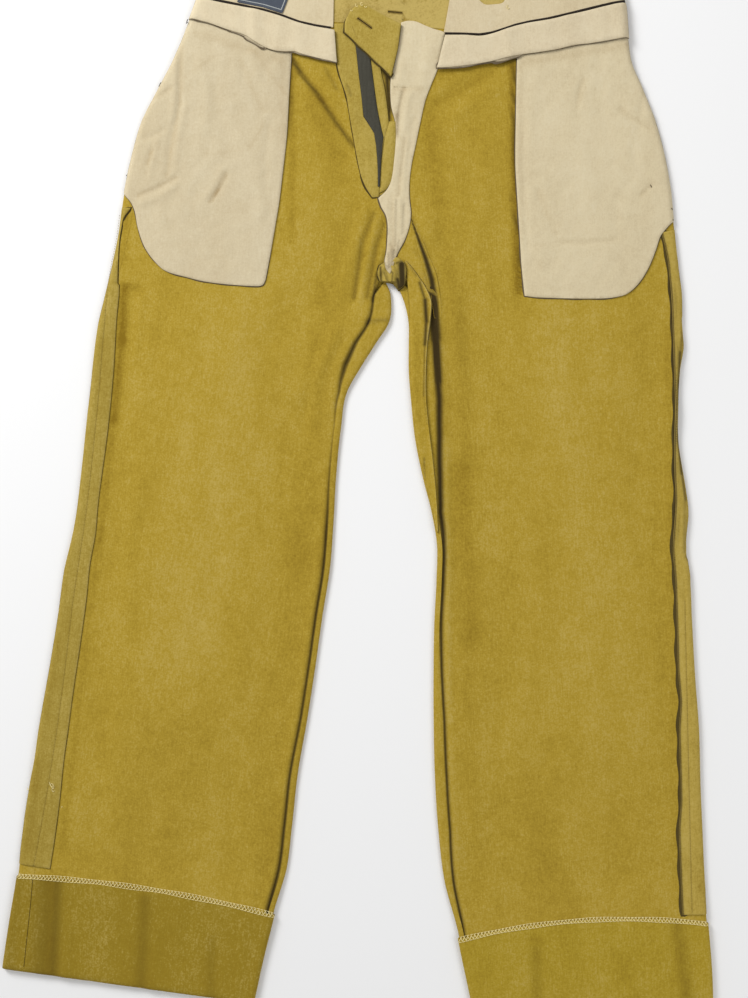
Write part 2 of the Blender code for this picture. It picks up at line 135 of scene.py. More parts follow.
LEFT_ROWS = named(Row, (
    (211, -44, 404, -9, 9, 12, 0, 0, 1.5, 1.6),
    (197, -4, 402, 25, 8, 12, 0, 0, 1.5, 1.6),
    (173, 58, 393.5, 66, 4, 12, 0, 0, 1.5, 1.8),
    (158, 88, 390, 92, 2, 12, 0, 0, 0.8, 2.0),
    (142.4, 120, 389, 120, 0, 12, 0, 0, 0, 2.2),
    (132, 155, 381.5, 155, 0, 12, 0, 0, 0, 2.2),
    (124.5, 190, 378.5, 190, 0, 12, 0, 0, 0, 2.0),
    (122.2, 205, 379.5, 205, 0, 12, 0, 0, 0, 2.0),
    (117.8, 238, 386, 238, 0, 10, 0, 0, 0, 2.0),
    (111.5, 268, 385, 268, 0, 9, 0, 0, 0, 2.0),
    (105, 296, 391, 296, 0, 9, 18, 1, 0, 2.0),
    (99, 321, 389.5, 321, 0, 10, 21, 1, 0, 2.2),
    (95.3, 343, 376, 343, 0, 10, 21, 1, 0, 2.2),
    (92.9, 366, 361.5, 366, 0, 10.5, 17, 1, 0, 2.2),
    (90.2, 392, 347, 392, 0, 11, 8, 1, 0, 2.2),
    (86, 428, 341, 428, 0, 11, 7, 1, 0, 2.2),
    (81, 476, 336.2, 476, 0, 11, 7, 1, 0, 2.2),
    (75, 523, 333.5, 523, 0, 12, 7, 1, 0, 2.2),
    (64.7, 568, 330, 568, 0, 13, 7, 1, 0, 2.2),
    (58, 616, 322.5, 616, 0, 13.5, 7, 1, 0, 2.2),
    (50, 665, 315.5, 666, 0, 15, 7, 1, 0, 2.2),
    (41.3, 714, 307.5, 718, 0, 17, 7, 1, 0, 2.2),
    (32.6, 768, 297.5, 776, 0, 17.5, 8, 1, 0, 2.2),
    (25.3, 812, 291.8, 828, -1, 18, 8, 1, 0, 2.0),
    (20.6, 848, 286, 872, -2, 18, 8, 1, 0, 1.8),
    (17.5, 869, 276.4, 908, -5, 18, 8, 1, 1.5, 1.6),
    (16.5, 876, 274.7, 915, -5, 18, 8, 1, 1.5, 1.6),
    (8.6, 924, 263.5, 960, -3, 20, 8, 1, 1.5, 1.6),
    (2, 968, 254, 1003, 0, 22, 8, 1, 1.5, 1.6),
))

RIGHT_ROWS = named(Row, (
    (617, -40, 404, -9, 14, 12, 0, 0, 1.5, 1.6),
    (626, 1, 402, 25, 15, 12, 0, 0, 1.5, 1.6),
    (633, 63, 393.5, 66, 5, 12, 0, 0, 1.5, 1.8),
    (643, 88, 390, 92, 2, 12, 0, 0, 0.8, 2.0),
    (655, 120, 389, 120, 0, 12, 0, 0, 0, 2.2),
    (664.5, 155, 381.5, 155, 0, 12, 0, 0, 0, 2.2),
    (670.7, 190, 378.5, 190, 0, 12, 0, 0, 0, 2.0),
    (672.2, 205, 379.5, 205, 0, 12, 0, 0, 0, 2.0),
    (675.3, 238, 386, 238, 0, 8, 0, 0, 0, 2.0),
    (678.5, 268, 385, 268, 0, 7, 0, 0, 0, 2.0),
    (681.8, 296, 402, 296, 0, 7, 29, 1, 0, 2.0),
    (682.3, 321, 408.4, 321, 0, 7, 26, 1, 0, 2.2),
    (683.6, 345, 408.7, 345, 0, 7, 28, 1, 0, 2.2),
    (680, 370, 408.7, 370, 0, 7, 29.5, 1, 0, 2.2),
    (678, 400, 411, 400, 0, 7, 29, 1, 0, 2.2),
    (677.8, 436, 414.7, 436, 0, 7, 25.5, 1, 0, 2.2),
    (684, 478, 423, 478, 0, 8, 17.7, 1, 0, 2.2),
    (688.3, 512, 431.6, 512, 0, 8, 9.5, 1, 0, 2.2),
    (686, 545, 437, 545, 0, 8, 7, 1, 0, 2.2),
    (690.3, 578, 436.6, 578, 0, 8.5, 7, 1, 0, 2.2),
    (692.5, 625, 434.3, 625, 0, 9, 7, 1, 0, 2.2),
    (695, 672, 433.6, 672, 0, 9, 8.5, 1, 0, 2.2),
    (698.6, 720, 433.7, 722, 0, 10, 11, 1, 0, 2.2),
    (700.5, 775, 435, 778, 0, 11, 12, 1, 0, 2.2),
    (702.4, 825, 438.3, 830, -3, 12, 12, 1, 0, 2.0),
    (704.8, 876, 445, 884, -6, 13, 9, 1, 0, 1.8),
    (707.8, 916, 456.5, 932, -10, 14, 7, 1, 1.5, 1.6),
    (708.4, 923, 457.8, 939, -11, 14, 7, 1, 1.5, 1.6),
    (712.2, 970, 467, 983, -9, 14, 7, 1, 1.5, 1.6),
    (714, 1020, 477, 1030, -7, 14, 7, 1, 1.5, 1.6),
))
OUTLINE_COLUMNS = 5
CROTCH_ROW = 9
HEM_ROW = -3

# A soft ridge or trough along a line. sway: how far its middle bends aside.
Fold = namedtuple("Fold", "across down to_across to_down half_width height sway", defaults=(0,))

# The largest folds, the same as in the solids
FOLDS = named(Fold, (
    (301, 80, 348, 140, 13, -1.5),
    (312, 70, 352, 112, 12, 1.0),
    (292, 112, 322, 190, 16, 1.0),
    (232, 330, 186, 700, 46, 1.5),
    (132, 300, 92, 760, 15, -1.1),
    (300, 400, 262, 820, 26, -0.9),
    (368, 296, 300, 392, 13, 1.4),
    (352, 226, 288, 330, 17, -1.0),
    (150, 560, 120, 840, 22, 0.9),
    (562, 330, 600, 730, 46, 1.5),
    (486, 330, 506, 830, 24, -0.9),
    (652, 330, 668, 800, 15, -0.9),
    (424, 222, 446, 330, 11, 1.3),
    (440, 250, 512, 352, 17, -0.8),
    (470, 90, 436, 112, 11, -0.9),
    (452, 560, 470, 840, 14, 0.9),
))

# Creases of the olive fronts and of all that lies on them
CREASES = named(Fold, (
    (291, 58, 320, 97, 2.6, -1.65, -2),
    (318, 94, 355, 147, 2.8, -1.8, 2),
    (298, 58, 334, 104, 4.5, 0.9, -2),
    (306, 108, 336, 148, 6, 0.75),
    (372, 214, 353, 300, 3.2, -1.05, 2),
    (383, 222, 366, 300, 3.0, -0.9, 1),
    (378, 218, 360, 300, 3.2, 1.05, 2),
    (362, 214, 340, 296, 6, 0.75),
    (350, 306, 326, 372, 5, -0.6, -3),
    (337, 330, 312, 420, 7, 0.6, 4),
    (316, 352, 306, 430, 5, -0.52, 3),
    (330, 420, 322, 520, 5, -0.52),
    (288, 300, 262, 380, 9, -0.45, 5),
    (242, 296, 226, 372, 8, 0.45, -4),
    (170, 300, 158, 420, 9, -0.45, 6),
    (142, 296, 134, 360, 5, 0.6),
    (118, 284, 142, 290, 3, -0.75, 2),
    (146, 470, 128, 610, 8, 0.45, 5),
    (214, 520, 196, 640, 10, -0.45, -6),
    (262, 560, 240, 690, 9, 0.45, 5),
    (110, 700, 96, 840, 7, -0.45, 3),
    (186, 760, 172, 880, 10, 0.45, 5),
    (232, 740, 226, 872, 8, -0.45, -4),
    (266, 790, 252, 900, 6, 0.45, 3),
    (492, 73, 437, 103, 3.5, -0.9, 3),
    (500, 88, 452, 122, 6, 0.68, 4),
    (470, 62, 478, 100, 4, -0.52),
    (436, 120, 462, 188, 7, 0.6, 4),
    (424, 150, 444, 240, 6, -0.6, -4),
    (488, 150, 470, 250, 9, 0.45, -5),
    (446, 262, 458, 360, 7, 0.75, -3),
    (470, 300, 478, 420, 7, -0.52, 4),
    (458, 470, 470, 640, 8, -0.68, 5),
    (446, 450, 449, 700, 3.5, 0.68),
    (480, 560, 484, 700, 9, 0.45, -5),
    (530, 330, 540, 470, 12, -0.45, 7),
    (600, 330, 612, 470, 10, 0.45, -6),
    (640, 400, 644, 560, 8, -0.45, 5),
    (560, 560, 580, 720, 12, -0.45, 8),
    (520, 700, 532, 850, 9, 0.45, 6),
    (610, 720, 618, 880, 9, -0.45, -5),
    (656, 620, 664, 800, 6, 0.45, 3),
    (466, 740, 476, 900, 7, -0.6, 4),
    (556, 742, 540, 790, 4, -0.45, 3),
))

# Creases near the foot, in the turn-ups
HEM_CREASES = named(Fold, (
    (58, 884, 54, 972, 5, -0.98, 3),
    (70, 920, 66, 975, 4, 0.84),
    (44, 900, 40, 970, 4, 0.56),
    (96, 930, 90, 980, 6, -0.49),
    (146, 900, 140, 988, 4.5, -0.84, 3),
    (156, 930, 152, 990, 5, 0.56),
    (190, 912, 184, 960, 6, -0.49),
    (216, 940, 212, 998, 5, -0.56, -3),
    (246, 918, 236, 1000, 5, 0.56),
    (494, 944, 500, 1024, 5, -0.56, 3),
    (530, 940, 538, 1018, 5, -0.84, -3),
    (545, 960, 552, 1020, 5, 0.56),
    (584, 930, 590, 1010, 6, -0.49, 4),
    (628, 930, 636, 1012, 5, 0.49),
    (672, 926, 680, 1010, 5, -0.98, 4),
    (684, 930, 692, 1014, 4, 0.7),
))

# Creases pressed into the cream pocket bags
BAG_CREASES = named(Fold, (
    (182, 48, 180, 102, 2.6, -0.96, 1),
    (176, 50, 173, 120, 3.4, 0.8, -1),
    (180, 104, 167, 176, 2.6, -0.88, 2),
    (186, 108, 176, 170, 3.2, 0.64, 2),
    (176, 178, 138, 196, 2.6, -0.8, -2),
    (176, 186, 142, 204, 3.4, 0.64, -2),
    (152, 150, 147, 166, 1.8, -0.8),
    (158, 140, 150, 178, 2.6, 0.56),
    (212, 201, 227, 175, 2.4, -0.72, 1),
    (206, 198, 222, 170, 3.2, 0.64, 1),
    (240, 60, 262, 110, 4, -0.56, 4),
    (252, 56, 276, 104, 4, 0.56, 4),
    (216, 70, 228, 140, 6, -0.48, 5),
    (200, 60, 206, 130, 5, 0.48, -4),
    (240, 140, 262, 210, 7, 0.48, -6),
    (196, 220, 236, 262, 6, -0.48, 5),
    (160, 216, 182, 250, 5, 0.48, 3),
    (270, 120, 266, 200, 4, -0.48, 2),
    (150, 100, 172, 88, 2.4, -0.64, 2),
    (140, 140, 164, 130, 2.6, -0.56, 2),
    (583, 80, 577, 108, 2.6, -0.72, 1),
    (560, 243, 614, 240, 3, -0.56, 2),
    (537, 191, 556, 234, 3, -0.56, 3),
    (545, 186, 566, 230, 4, 0.48, 3),
    (620, 110, 650, 130, 3, -0.72, 3),
    (626, 102, 652, 118, 3, 0.64, 3),
    (632, 150, 656, 188, 4, -0.56, 4),
    (640, 196, 652, 184, 2, -0.64, 1),
    (540, 66, 532, 150, 7, 0.48, 5),
    (600, 60, 612, 150, 6, -0.4, 5),
    (570, 130, 590, 200, 8, 0.48, -6),
    (616, 200, 626, 270, 6, -0.48, 4),
    (540, 250, 552, 290, 5, 0.48, 3),
    (524, 120, 528, 250, 3, -0.48, 2),
    (646, 90, 640, 128, 3, -0.56, 2),
))

# Darker or paler stretches of the cloth, for its own tone and for painted shade and painted highlights
Stretch = namedtuple("Stretch", "across down to_across to_down half_width amount")

# Where a piece's edge shows a dark line of painted shade, drawn as a dark lip reaching out from its foot, and
# how wide, or a paler raw edge
Mark = namedtuple("Mark", "across down to_across to_down half_width lip pale", defaults=(0,))

# The olive cloth's own uneven tone, mixed with painted shade along folds, creases and the edges of the bags
# and shield, painted highlights along raised edges, and painted shade towards the lower left
TONES_AND_PAINTED_LIGHT = named(Stretch, (
    (124, 288, 122, 340, 4.6, 1.5),
    (122, 340, 114, 420, 4.6, 1.2),
    (113, 420, 100, 540, 4.0, 0.8),
    (98, 540, 62, 850, 4.0, 0.45),
    (126, 214, 124, 262, 5, 0.7),
    (122, 284, 142, 290, 4, 0.6),
    (291, 60, 292, 240, 4, 0.8),
    (512, 66, 518, 292, 3.6, 1.7),
    (291, 58, 322, 100, 3, 0.7),
    (320, 98, 354, 146, 3, 0.8),
    (312, 96, 344, 176, 12, 0.45),
    (372, 214, 353, 300, 3, 0.6),
    (384, 222, 367, 300, 3, 0.5),
    (378, 218, 360, 300, 3, -0.4),
    (352, 200, 318, 300, 9, 0.3),
    (330, 300, 300, 560, 16, 0.35),
    (314, 344, 310, 372, 3.5, 0.4),
    (284, 420, 282, 450, 4, 0.3),
    (258, 490, 262, 540, 5, 0.3),
    (232, 320, 196, 640, 42, -0.35),
    (300, 560, 262, 860, 18, 0.2),
    (180, 740, 160, 860, 24, 0.3),
    (80, 860, 140, 880, 14, 0.3),
    (276, 800, 262, 900, 8, 0.35),
    (336, 430, 300, 760, 4, 0.3),
    (457, 300, 468, 470, 8, 0.3),
    (462, 470, 474, 640, 11, 0.7),
    (466, 640, 478, 900, 9, 0.35),
    (446, 440, 449, 720, 3.5, -0.5),
    (450, 720, 456, 860, 3.5, -0.3),
    (440, 240, 470, 360, 14, 0.2),
    (428, 110, 440, 200, 9, 0.5),
    (437, 103, 492, 73, 4, 0.6),
    (440, 72, 512, 62, 5, 0.7),
    (560, 320, 600, 700, 46, -0.3),
    (668, 330, 672, 540, 5, 0.45),
    (672, 560, 676, 900, 5, 0.35),
    (540, 745, 560, 740, 5, 0.25),
    (520, 800, 560, 900, 26, 0.2),
    (54, 880, 52, 974, 7, 0.7),
    (40, 876, 34, 968, 5, -0.2),
    (144, 900, 140, 988, 6, 0.5),
    (200, 930, 210, 996, 8, 0.25),
    (536, 940, 538, 1010, 7, 0.5),
    (676, 926, 686, 1006, 7, 0.7),
    (620, 960, 640, 1010, 12, 0.3),
))

# Deep hollows of the olive panels, where almost no light comes
DARKS = named(Stretch, (
    (384, 71, 390, 79, 4.6, 1.0),
    (387, 79, 389.4, 112, 3.0, 0.97),
    (389, 112, 389.6, 121, 2.0, 0.9),
    (292, 59, 301, 74, 2.5, 0.78),
    (301, 74, 318, 95, 2.3, 0.66),
    (318, 95, 337, 124, 2.3, 0.56),
    (337, 124, 354, 146, 2.2, 0.56),
    (289, 96, 285, 136, 4.2, 0.45),
    (291, 62, 289, 96, 2.0, 0.4),
    (326, 70, 337, 90, 2.0, 0.3),
    (502, 61.5, 516, 59, 2.6, 0.8),
    (514.5, 66, 514, 200, 1.9, 0.55),
    (515, 200, 522, 290, 1.9, 0.5),
    (252, 43, 262, 48, 3, 0.6),
    (410.5, 216, 421, 244, 2.4, 0.35),
    (421, 244, 430, 274, 4.0, 0.5),
    (430, 274, 435, 302, 5.0, 0.6),
    (434, 302, 436, 338, 4.4, 0.75),
    (436, 338, 439, 380, 3.4, 0.5),
    (414, 250, 424, 262, 2.0, 0.15),
    (376, 276, 373, 300, 1.6, 0.7),
    (366, 322, 386, 320, 2.2, 0.35),
    (384, 206, 387, 222, 1.8, 0.6),
    (374, 214, 362, 240, 2.2, 0.34),
    (362, 240, 354, 298, 2.4, 0.4),
    (384, 224, 376, 246, 2.0, 0.4),
    (376, 246, 367, 298, 2.2, 0.42),
    (385, 252, 372, 300, 2.4, 0.3),
))

# Painted shade on the cream cloth: in its creases, under the curtains' edges, and along the bags' and shield's
# edges
CREAM_PAINTED_SHADE = named(Stretch, (
    (182, 48, 180, 102, 1.8, 0.5),
    (180, 104, 167, 176, 1.8, 0.5),
    (176, 178, 138, 196, 1.8, 0.45),
    (152, 150, 148, 165, 1.4, 0.8),
    (210, 203, 219, 190, 1.3, 1.0),
    (214, 196, 227, 174, 1.3, 1.0),
    (240, 60, 262, 110, 3, 0.35),
    (196, 70, 214, 58, 2, 0.35),
    (252, 50, 290, 100, 2, 0.3),
    (250, 148, 262, 128, 1.8, 0.4),
    (200, 156, 232, 152, 2, 0.25),
    (138, 80, 130, 130, 3, 0.2),
    (150, 100, 172, 88, 3, 0.35),
    (283, 60, 284, 140, 4, 0.35),
    (196, 34, 280, 60, 5, 0.4),
    (583, 80, 577, 108, 3, 0.3),
    (620, 110, 650, 130, 3, 0.35),
    (640, 196, 652, 184, 2, 0.4),
    (537, 191, 556, 234, 3, 0.25),
    (560, 243, 614, 240, 3, 0.25),
    (524, 64, 628, 46, 5, 0.45),
    (520, 70, 521, 240, 3, 0.25),
    (404, 90, 397, 116, 2.6, 0.6),
    (397, 116, 396, 136, 2.6, 0.7),
    (404, 140, 398, 196, 2.4, 0.4),
    (392, 200, 394, 250, 3, 0.35),
    (390, 246, 392, 268, 4, 0.6),
    (394, 90, 422, 90, 2, 0.4),
))

# The dark gap beside each front's inner edge, where shade falls: how wide its painted shade looks, how deep,
# how dark it is painted
Gap = namedtuple("Gap", "down width depth dark")
LEFT_GAPS = named(Gap, (
    (262, 2.5, 0.8, 0.7), (300, 2.5, 1.0, 0.8), (330, 4, 1.2, 0.85), (362, 6, 1.4, 0.9),
    (390, 3, 0.8, 0.7), (430, 1.2, 0.3, 0.3), (480, 2.2, 0.8, 0.6), (530, 3.5, 1.2, 0.9),
    (600, 3.2, 1.2, 0.9), (700, 3, 1.1, 0.85), (860, 3.6, 1.3, 0.9), (905, 4.5, 1.3, 0.95),
    (1010, 1, 0.2, 0.2),
))
RIGHT_GAPS = named(Gap, (
    (210, 1.5, 0.6, 0.6), (240, 4, 1.0, 0.85), (290, 9, 1.5, 1.0), (330, 9, 1.4, 1.0),
    (380, 7.5, 1.4, 1.0), (460, 6.4, 1.3, 1.0), (520, 5.6, 1.3, 0.98), (600, 3.8, 1.2, 0.95),
    (700, 3, 1.1, 0.9), (800, 3, 1.1, 0.9), (930, 3, 1.1, 0.95), (1030, 1, 0.2, 0.2),
))


def bell(away, width, power=2):
    """1 where away is 0, fading to 0 past the width."""
    return np.exp(-(away / width) ** power)


def smooth_step(share, start, stop, leave, reach):
    """A smooth way from start to stop, by the slopes at both."""
    return ((2 * share ** 3 - 3 * share ** 2 + 1) * start + (share ** 3 - 2 * share ** 2 + share) * leave
            + (3 * share ** 2 - 2 * share ** 3) * stop + (share ** 3 - share ** 2) * reach)


def across_at(line, down):
    """How far across a line runs, at each place down."""
    across, downs = np.array(line, float).T
    return np.interp(down, downs, across)


def fold_height(x, y, folds):
    """The height that a table of folds adds at each point."""
    total = np.zeros(np.shape(x))
    for fold in folds:
        run_x = fold.to_across - fold.across
        run_y = fold.to_down - fold.down
        length = math.hypot(run_x, run_y)
        share = ((x - fold.across) * run_x + (y - fold.down) * run_y) / length ** 2
        share = np.clip(share, 0, 1)
        bend = fold.sway * np.sin(math.pi * share)
        middle_x = fold.across + share * run_x - run_y / length * bend
        middle_y = fold.down + share * run_y + run_x / length * bend
        away = np.hypot(x - middle_x, y - middle_y)
        total += fold.height * bell(away, fold.half_width)
    return total


def tone_at(x, y, stretches):
    """How much darker, above 0, or paler, below 0, a table of stretches makes each point: the cloth's own
    tone, painted shade or painted highlight.
    """
    total = np.zeros(np.shape(x))
    for part in stretches:
        run_x = part.to_across - part.across
        run_y = part.to_down - part.down
        share = ((x - part.across) * run_x + (y - part.down) * run_y) / (run_x ** 2 + run_y ** 2)
        share = np.clip(share, 0, 1)
        away = np.hypot(x - part.across - share * run_x, y - part.down - share * run_y)
        total += part.amount * bell(away, part.half_width)
    return total


def dark_at(x, y, stretches):
    """How dark each point is, by the darkest stretch near it."""
    return np.max([tone_at(x, y, [part]) for part in stretches], axis=0)


def ripple(x, y):
    """Slight unevenness of cloth that lies by its own weight."""
    low = np.sin(x * 0.071 + 1.3 * np.sin(y * 0.023)) * np.sin(y * 0.041 + 0.9 * np.sin(x * 0.035) + 1.0)
    fine = np.sin(x * 0.19 + 1.7 * np.sin(y * 0.061 + 2.0)) * np.sin(y * 0.13 + 1.1 * np.sin(x * 0.083))
    return 0.16 * low + 0.07 * fine


def span(line):
    """The width of an outline's sections."""
    return np.hypot(line[..., 2] - line[..., 0], line[..., 3] - line[..., 1])


def bowed(line, share):
    """How far down a section's points lie, with its bow."""
    return line[..., 1] + (line[..., 3] - line[..., 1]) * share + 4 * line[..., 4] * share * (1 - share)


class Leg:
    """One leg of the flat tube, read from the table of its sections."""

    def __init__(self, rows, gaps):
        table = np.array(rows, float)
        steps = np.hypot(np.diff(table[:, 0]), np.diff(table[:, 1]))
        steps += np.hypot(np.diff(table[:, 2]), np.diff(table[:, 3]))
        self.knots = np.concatenate(([0.0], np.cumsum(steps / 2)))
        self.table = table
        gap = np.diff(self.knots)[:, None]
        slope = np.diff(table[:, :OUTLINE_COLUMNS], axis=0) / gap
        inner = (slope[1:] * gap[:-1] + slope[:-1] * gap[1:]) / (gap[1:] + gap[:-1])
        self.slopes = np.vstack((slope[:1], inner, slope[-1:]))
        self.gaps = np.array(gaps, float)

    def run_of(self, row):
        return self.knots[row]

    def outline(self, run):
        """Outer across and down, inner across and down and bow, smooth between the rows."""
        run = np.clip(run, 0, self.knots[-1])
        index = np.clip(np.searchsorted(self.knots, run, side="right") - 1, 0, len(self.knots) - 2)
        length = self.knots[index + 1] - self.knots[index]
        share = ((run - self.knots[index]) / length)[..., None]
        length = length[..., None]
        ends = self.table[:, :OUTLINE_COLUMNS]
        return smooth_step(share, ends[index], ends[index + 1], self.slopes[index] * length,
                           self.slopes[index + 1] * length)

    def size(self, run, name):
        return np.interp(run, self.knots, self.table[:, Row._fields.index(name)])

    def base(self, run, lift):
        """How high the cloth's underside lies."""
        return self.size(run, "lift") if lift is None else np.full(np.shape(run), float(lift))

    def width(self, run):
        return span(self.outline(run))

    def place(self, run, distance):
        """Across and down of a point at a distance from the outer side."""
        line = self.outline(run)
        share = distance / span(line)
        return line[..., 0] + (line[..., 2] - line[..., 0]) * share, bowed(line, share)

    def inward(self, run):
        """The direction from the outer side to the inner one."""
        line = self.outline(run)
        width = span(line)
        return (line[..., 2] - line[..., 0]) / width, (line[..., 3] - line[..., 1]) / width

    def find(self, x, y):
        """Run and distance of points given by across and down."""
        low = np.zeros(np.shape(x))
        high = np.full(np.shape(x), self.knots[-1])
        for _ in range(FIND_STEPS):
            middle = (low + high) / 2
            line = self.outline(middle)
            share = (x - line[..., 0]) / (line[..., 2] - line[..., 0])
            below = y > bowed(line, share)
            low = np.where(below, middle, low)
            high = np.where(below, high, middle)
        return low, share * self.width(low)

    def top(self, run, distance, more=0.0, lift=None, folds=CREASES):
        """Height of the top skin."""
        x, y = self.place(run, distance)
        hollow = self.size(run, "hollow") + fold_height(x, y, FOLDS)
        hollow = np.clip(hollow, HOLLOW_LEAST, HOLLOW_MOST)
        base = self.base(run, lift)
        fine = fold_height(x, y, folds) + ripple(x, y)
        return base + 2 * TWILL + more + hollow + np.maximum(fine, -0.5 * hollow)

    def skin(self, run, distance, more=0.0, lift=None, folds=CREASES, inner=True):
        """Points of the top skin and their outward directions, round where it turns down at a side."""
        base = self.base(run, lift)
        width = self.width(run)
        wrap = self.size(run, "wrap") if inner else np.zeros(np.shape(run))
        outer_angle = np.arccos(np.clip(1 - (distance - base) / TURN_TOP, 0, 1))
        inner_angle = np.arccos(np.clip(1 - (width - distance - base) / TURN_TOP, 0, 1))
        inner_angle = np.where(wrap > 0.5, inner_angle, math.pi / 2)
        angle = np.minimum(outer_angle, inner_angle)
        distance = np.maximum(distance, base)
        distance = np.where(wrap > 0.5, np.minimum(distance, width - base), distance)
        top = self.top(run, distance, more, lift, folds)
        middle = (base + top) / 2
        up = middle + (top - middle) * np.sin(angle)
        side_x, side_y = self.inward(run)
        sign = np.where(outer_angle < inner_angle, -1.0, 1.0)
        out = np.stack((side_x * sign * np.cos(angle), side_y * sign * np.cos(angle), np.sin(angle)), -1)
        x, y = self.place(run, distance)
        return np.stack((x, y, up), -1), out

    def gap_at(self, down, name):
        return np.interp(down, self.gaps[:, 0], self.gaps[:, Gap._fields.index(name)])


LEFT = Leg(LEFT_ROWS, LEFT_GAPS)
RIGHT = Leg(RIGHT_ROWS, RIGHT_GAPS)
LEGS = {"left": LEFT, "right": RIGHT}


def to_world(points):
    """Points as across, down and up in millimetres, in metres in the part's frame."""
    points = np.asarray(points, float)
    return np.stack(((points[..., 0] - CENTRE_ACROSS) * MM, (CENTRE_DOWN - points[..., 1]) * MM,
                     points[..., 2] * MM), -1)


def make_object(name, points, faces, marks):
    """An object with a smooth mesh. marks are values kept at each point, by their names."""
    mesh = bpy.data.meshes.new(name)
    mesh.from_pydata(to_world(points).tolist(), [], faces)
    for mark, values in marks.items():
        layer = mesh.attributes.new(mark, "FLOAT", "POINT")
        layer.data.foreach_set("value", np.asarray(values, np.float32).ravel())
    mesh.validate()
    mesh.update()
    made = bpy.data.objects.new(name, mesh)
    bpy.context.scene.collection.objects.link(made)
    for item in bpy.context.selected_objects:
        item.select_set(False)
    made.select_set(True)
    bpy.context.view_layer.objects.active = made
    bpy.ops.object.shade_smooth_by_angle(angle=math.radians(50))
    return made


def grid_shell(name, points, out, low, high, shade=None, tone_and_painted_light=None, faces_down=False):
    """A thin closed sheet over a grid of points, from low to high along their outward directions."""
    rows, columns = points.shape[:2]
    count = rows * columns
    over = points + out * high
    under = points + out * low
    middle = points + out * (low + high) / 2
    ring = [(0, c) for c in range(columns)] + [(r, columns - 1) for r in range(1, rows)]
    ring += [(rows - 1, c) for c in range(columns - 2, -1, -1)] + [(r, 0) for r in range(rows - 2, 0, -1)]
    edge = []
    for r, c in ring:
        away = np.zeros(3)
        if r in (0, rows - 1):
            away += points[r, c] - points[1 if r == 0 else rows - 2, c]
        if c in (0, columns - 1):
            away += points[r, c] - points[r, 1 if c == 0 else columns - 2]
        edge.append(middle[r, c] + away / max(1e-6, np.linalg.norm(away)) * EDGE_ROUND)
    index = np.arange(count).reshape(rows, columns)
    faces = np.stack((index[:-1, :-1], index[1:, :-1], index[1:, 1:], index[:-1, 1:]), -1).reshape(-1, 4)
    mirrored = turned_over(over, index) != faces_down
    top = faces[:, ::-1] if mirrored else faces
    bottom = (faces if mirrored else faces[:, ::-1]) + count
    quads = top.tolist() + bottom.tolist()
    ids = [int(index[r, c]) for r, c in ring]
    total = len(ring)
    for step in range(total):
        after = (step + 1) % total
        first = [ids[step], ids[after], 2 * count + after, 2 * count + step]
        second = [2 * count + step, 2 * count + after, ids[after] + count, ids[step] + count]
        for quad in (first, second):
            quads.append(quad[::-1] if not mirrored else quad)
    marks = {}
    for mark, values, plain in (("shade", shade, 1.0), ("tone_and_painted_light", tone_and_painted_light, 0.0)):
        values = np.full((rows, columns), plain) if values is None else values
        edges = [values[r, c] for r, c in ring]
        marks[mark] = np.concatenate((values.ravel(), values.ravel(), edges))
    every = np.vstack((over.reshape(-1, 3), under.reshape(-1, 3), np.array(edge)))
    return make_object(name, every, quads, marks)


def turned_over(over, index):
    """Whether the grid's faces, in their first order, point down in the middle."""
    world = to_world(over)
    r, c = index.shape[0] // 2, index.shape[1] // 2
    return bool(np.cross(world[r + 1, c] - world[r, c], world[r, c + 1] - world[r, c])[2] < 0)


def smooth_line(points, spacing=EDGE_STEP):
    """Points about a spacing apart on a smooth line through the given ones."""
    points = [np.array(point, float) for point in points]
    ends = [2 * points[0] - points[1]] + points + [2 * points[-1] - points[-2]]
    line = []
    for before, start, stop, after in zip(ends, ends[1:], ends[2:], ends[3:]):
        length = np.linalg.norm(stop - start)
        steps = max(1, int(round(length / spacing)))
        lead = (stop - before) / max(np.linalg.norm(stop - before), 1e-9) * length
        tail = (after - start) / max(np.linalg.norm(after - start), 1e-9) * length
        for step in range(steps):
            line.append(smooth_step(step / steps, start, stop, lead, tail))
    line.append(points[-1])
    return line


def closed_outline(*lines):
    """One outline from smooth lines, with straight runs between them."""
    outline = []
    for line in lines:
        smooth = smooth_line(line) if len(line) > 1 else [np.array(line[0], float)]
        if outline:
            outline += straight(outline[-1], smooth[0])
        outline += smooth
    outline += straight(outline[-1], outline[0])
    kept = [outline[0]]
    for point in outline[1:]:
        if np.linalg.norm(point - kept[-1]) > 0.4:
            kept.append(point)
    if np.linalg.norm(kept[-1] - kept[0]) < 0.4:
        kept.pop()
    return np.array(kept)


def straight(start, stop):
    steps = max(1, int(np.linalg.norm(stop - start) / EDGE_STEP))
    return [start + (stop - start) * step / steps for step in range(1, steps)]


def edge_distance(points, outline):
    """How far each point is from the outline, and whether it lies inside."""
    start = outline
    run = np.roll(outline, -1, axis=0) - start
    offset = points[:, None, :] - start[None]
    share = np.clip((offset * run).sum(-1) / (run ** 2).sum(-1), 0, 1)
    away = np.linalg.norm(offset - share[..., None] * run, axis=-1).min(1)
    stop = start + run
    crosses = (start[None, :, 1] > points[:, None, 1]) != (stop[None, :, 1] > points[:, None, 1])
    tall = np.where(run[:, 1] == 0, 1e-9, run[:, 1])
    meets = start[None, :, 0] + (points[:, None, 1] - start[None, :, 1]) / tall * run[None, :, 0]
    inside = (crosses & (points[:, None, 0] < meets)).sum(1) % 2 == 1
    return away, inside


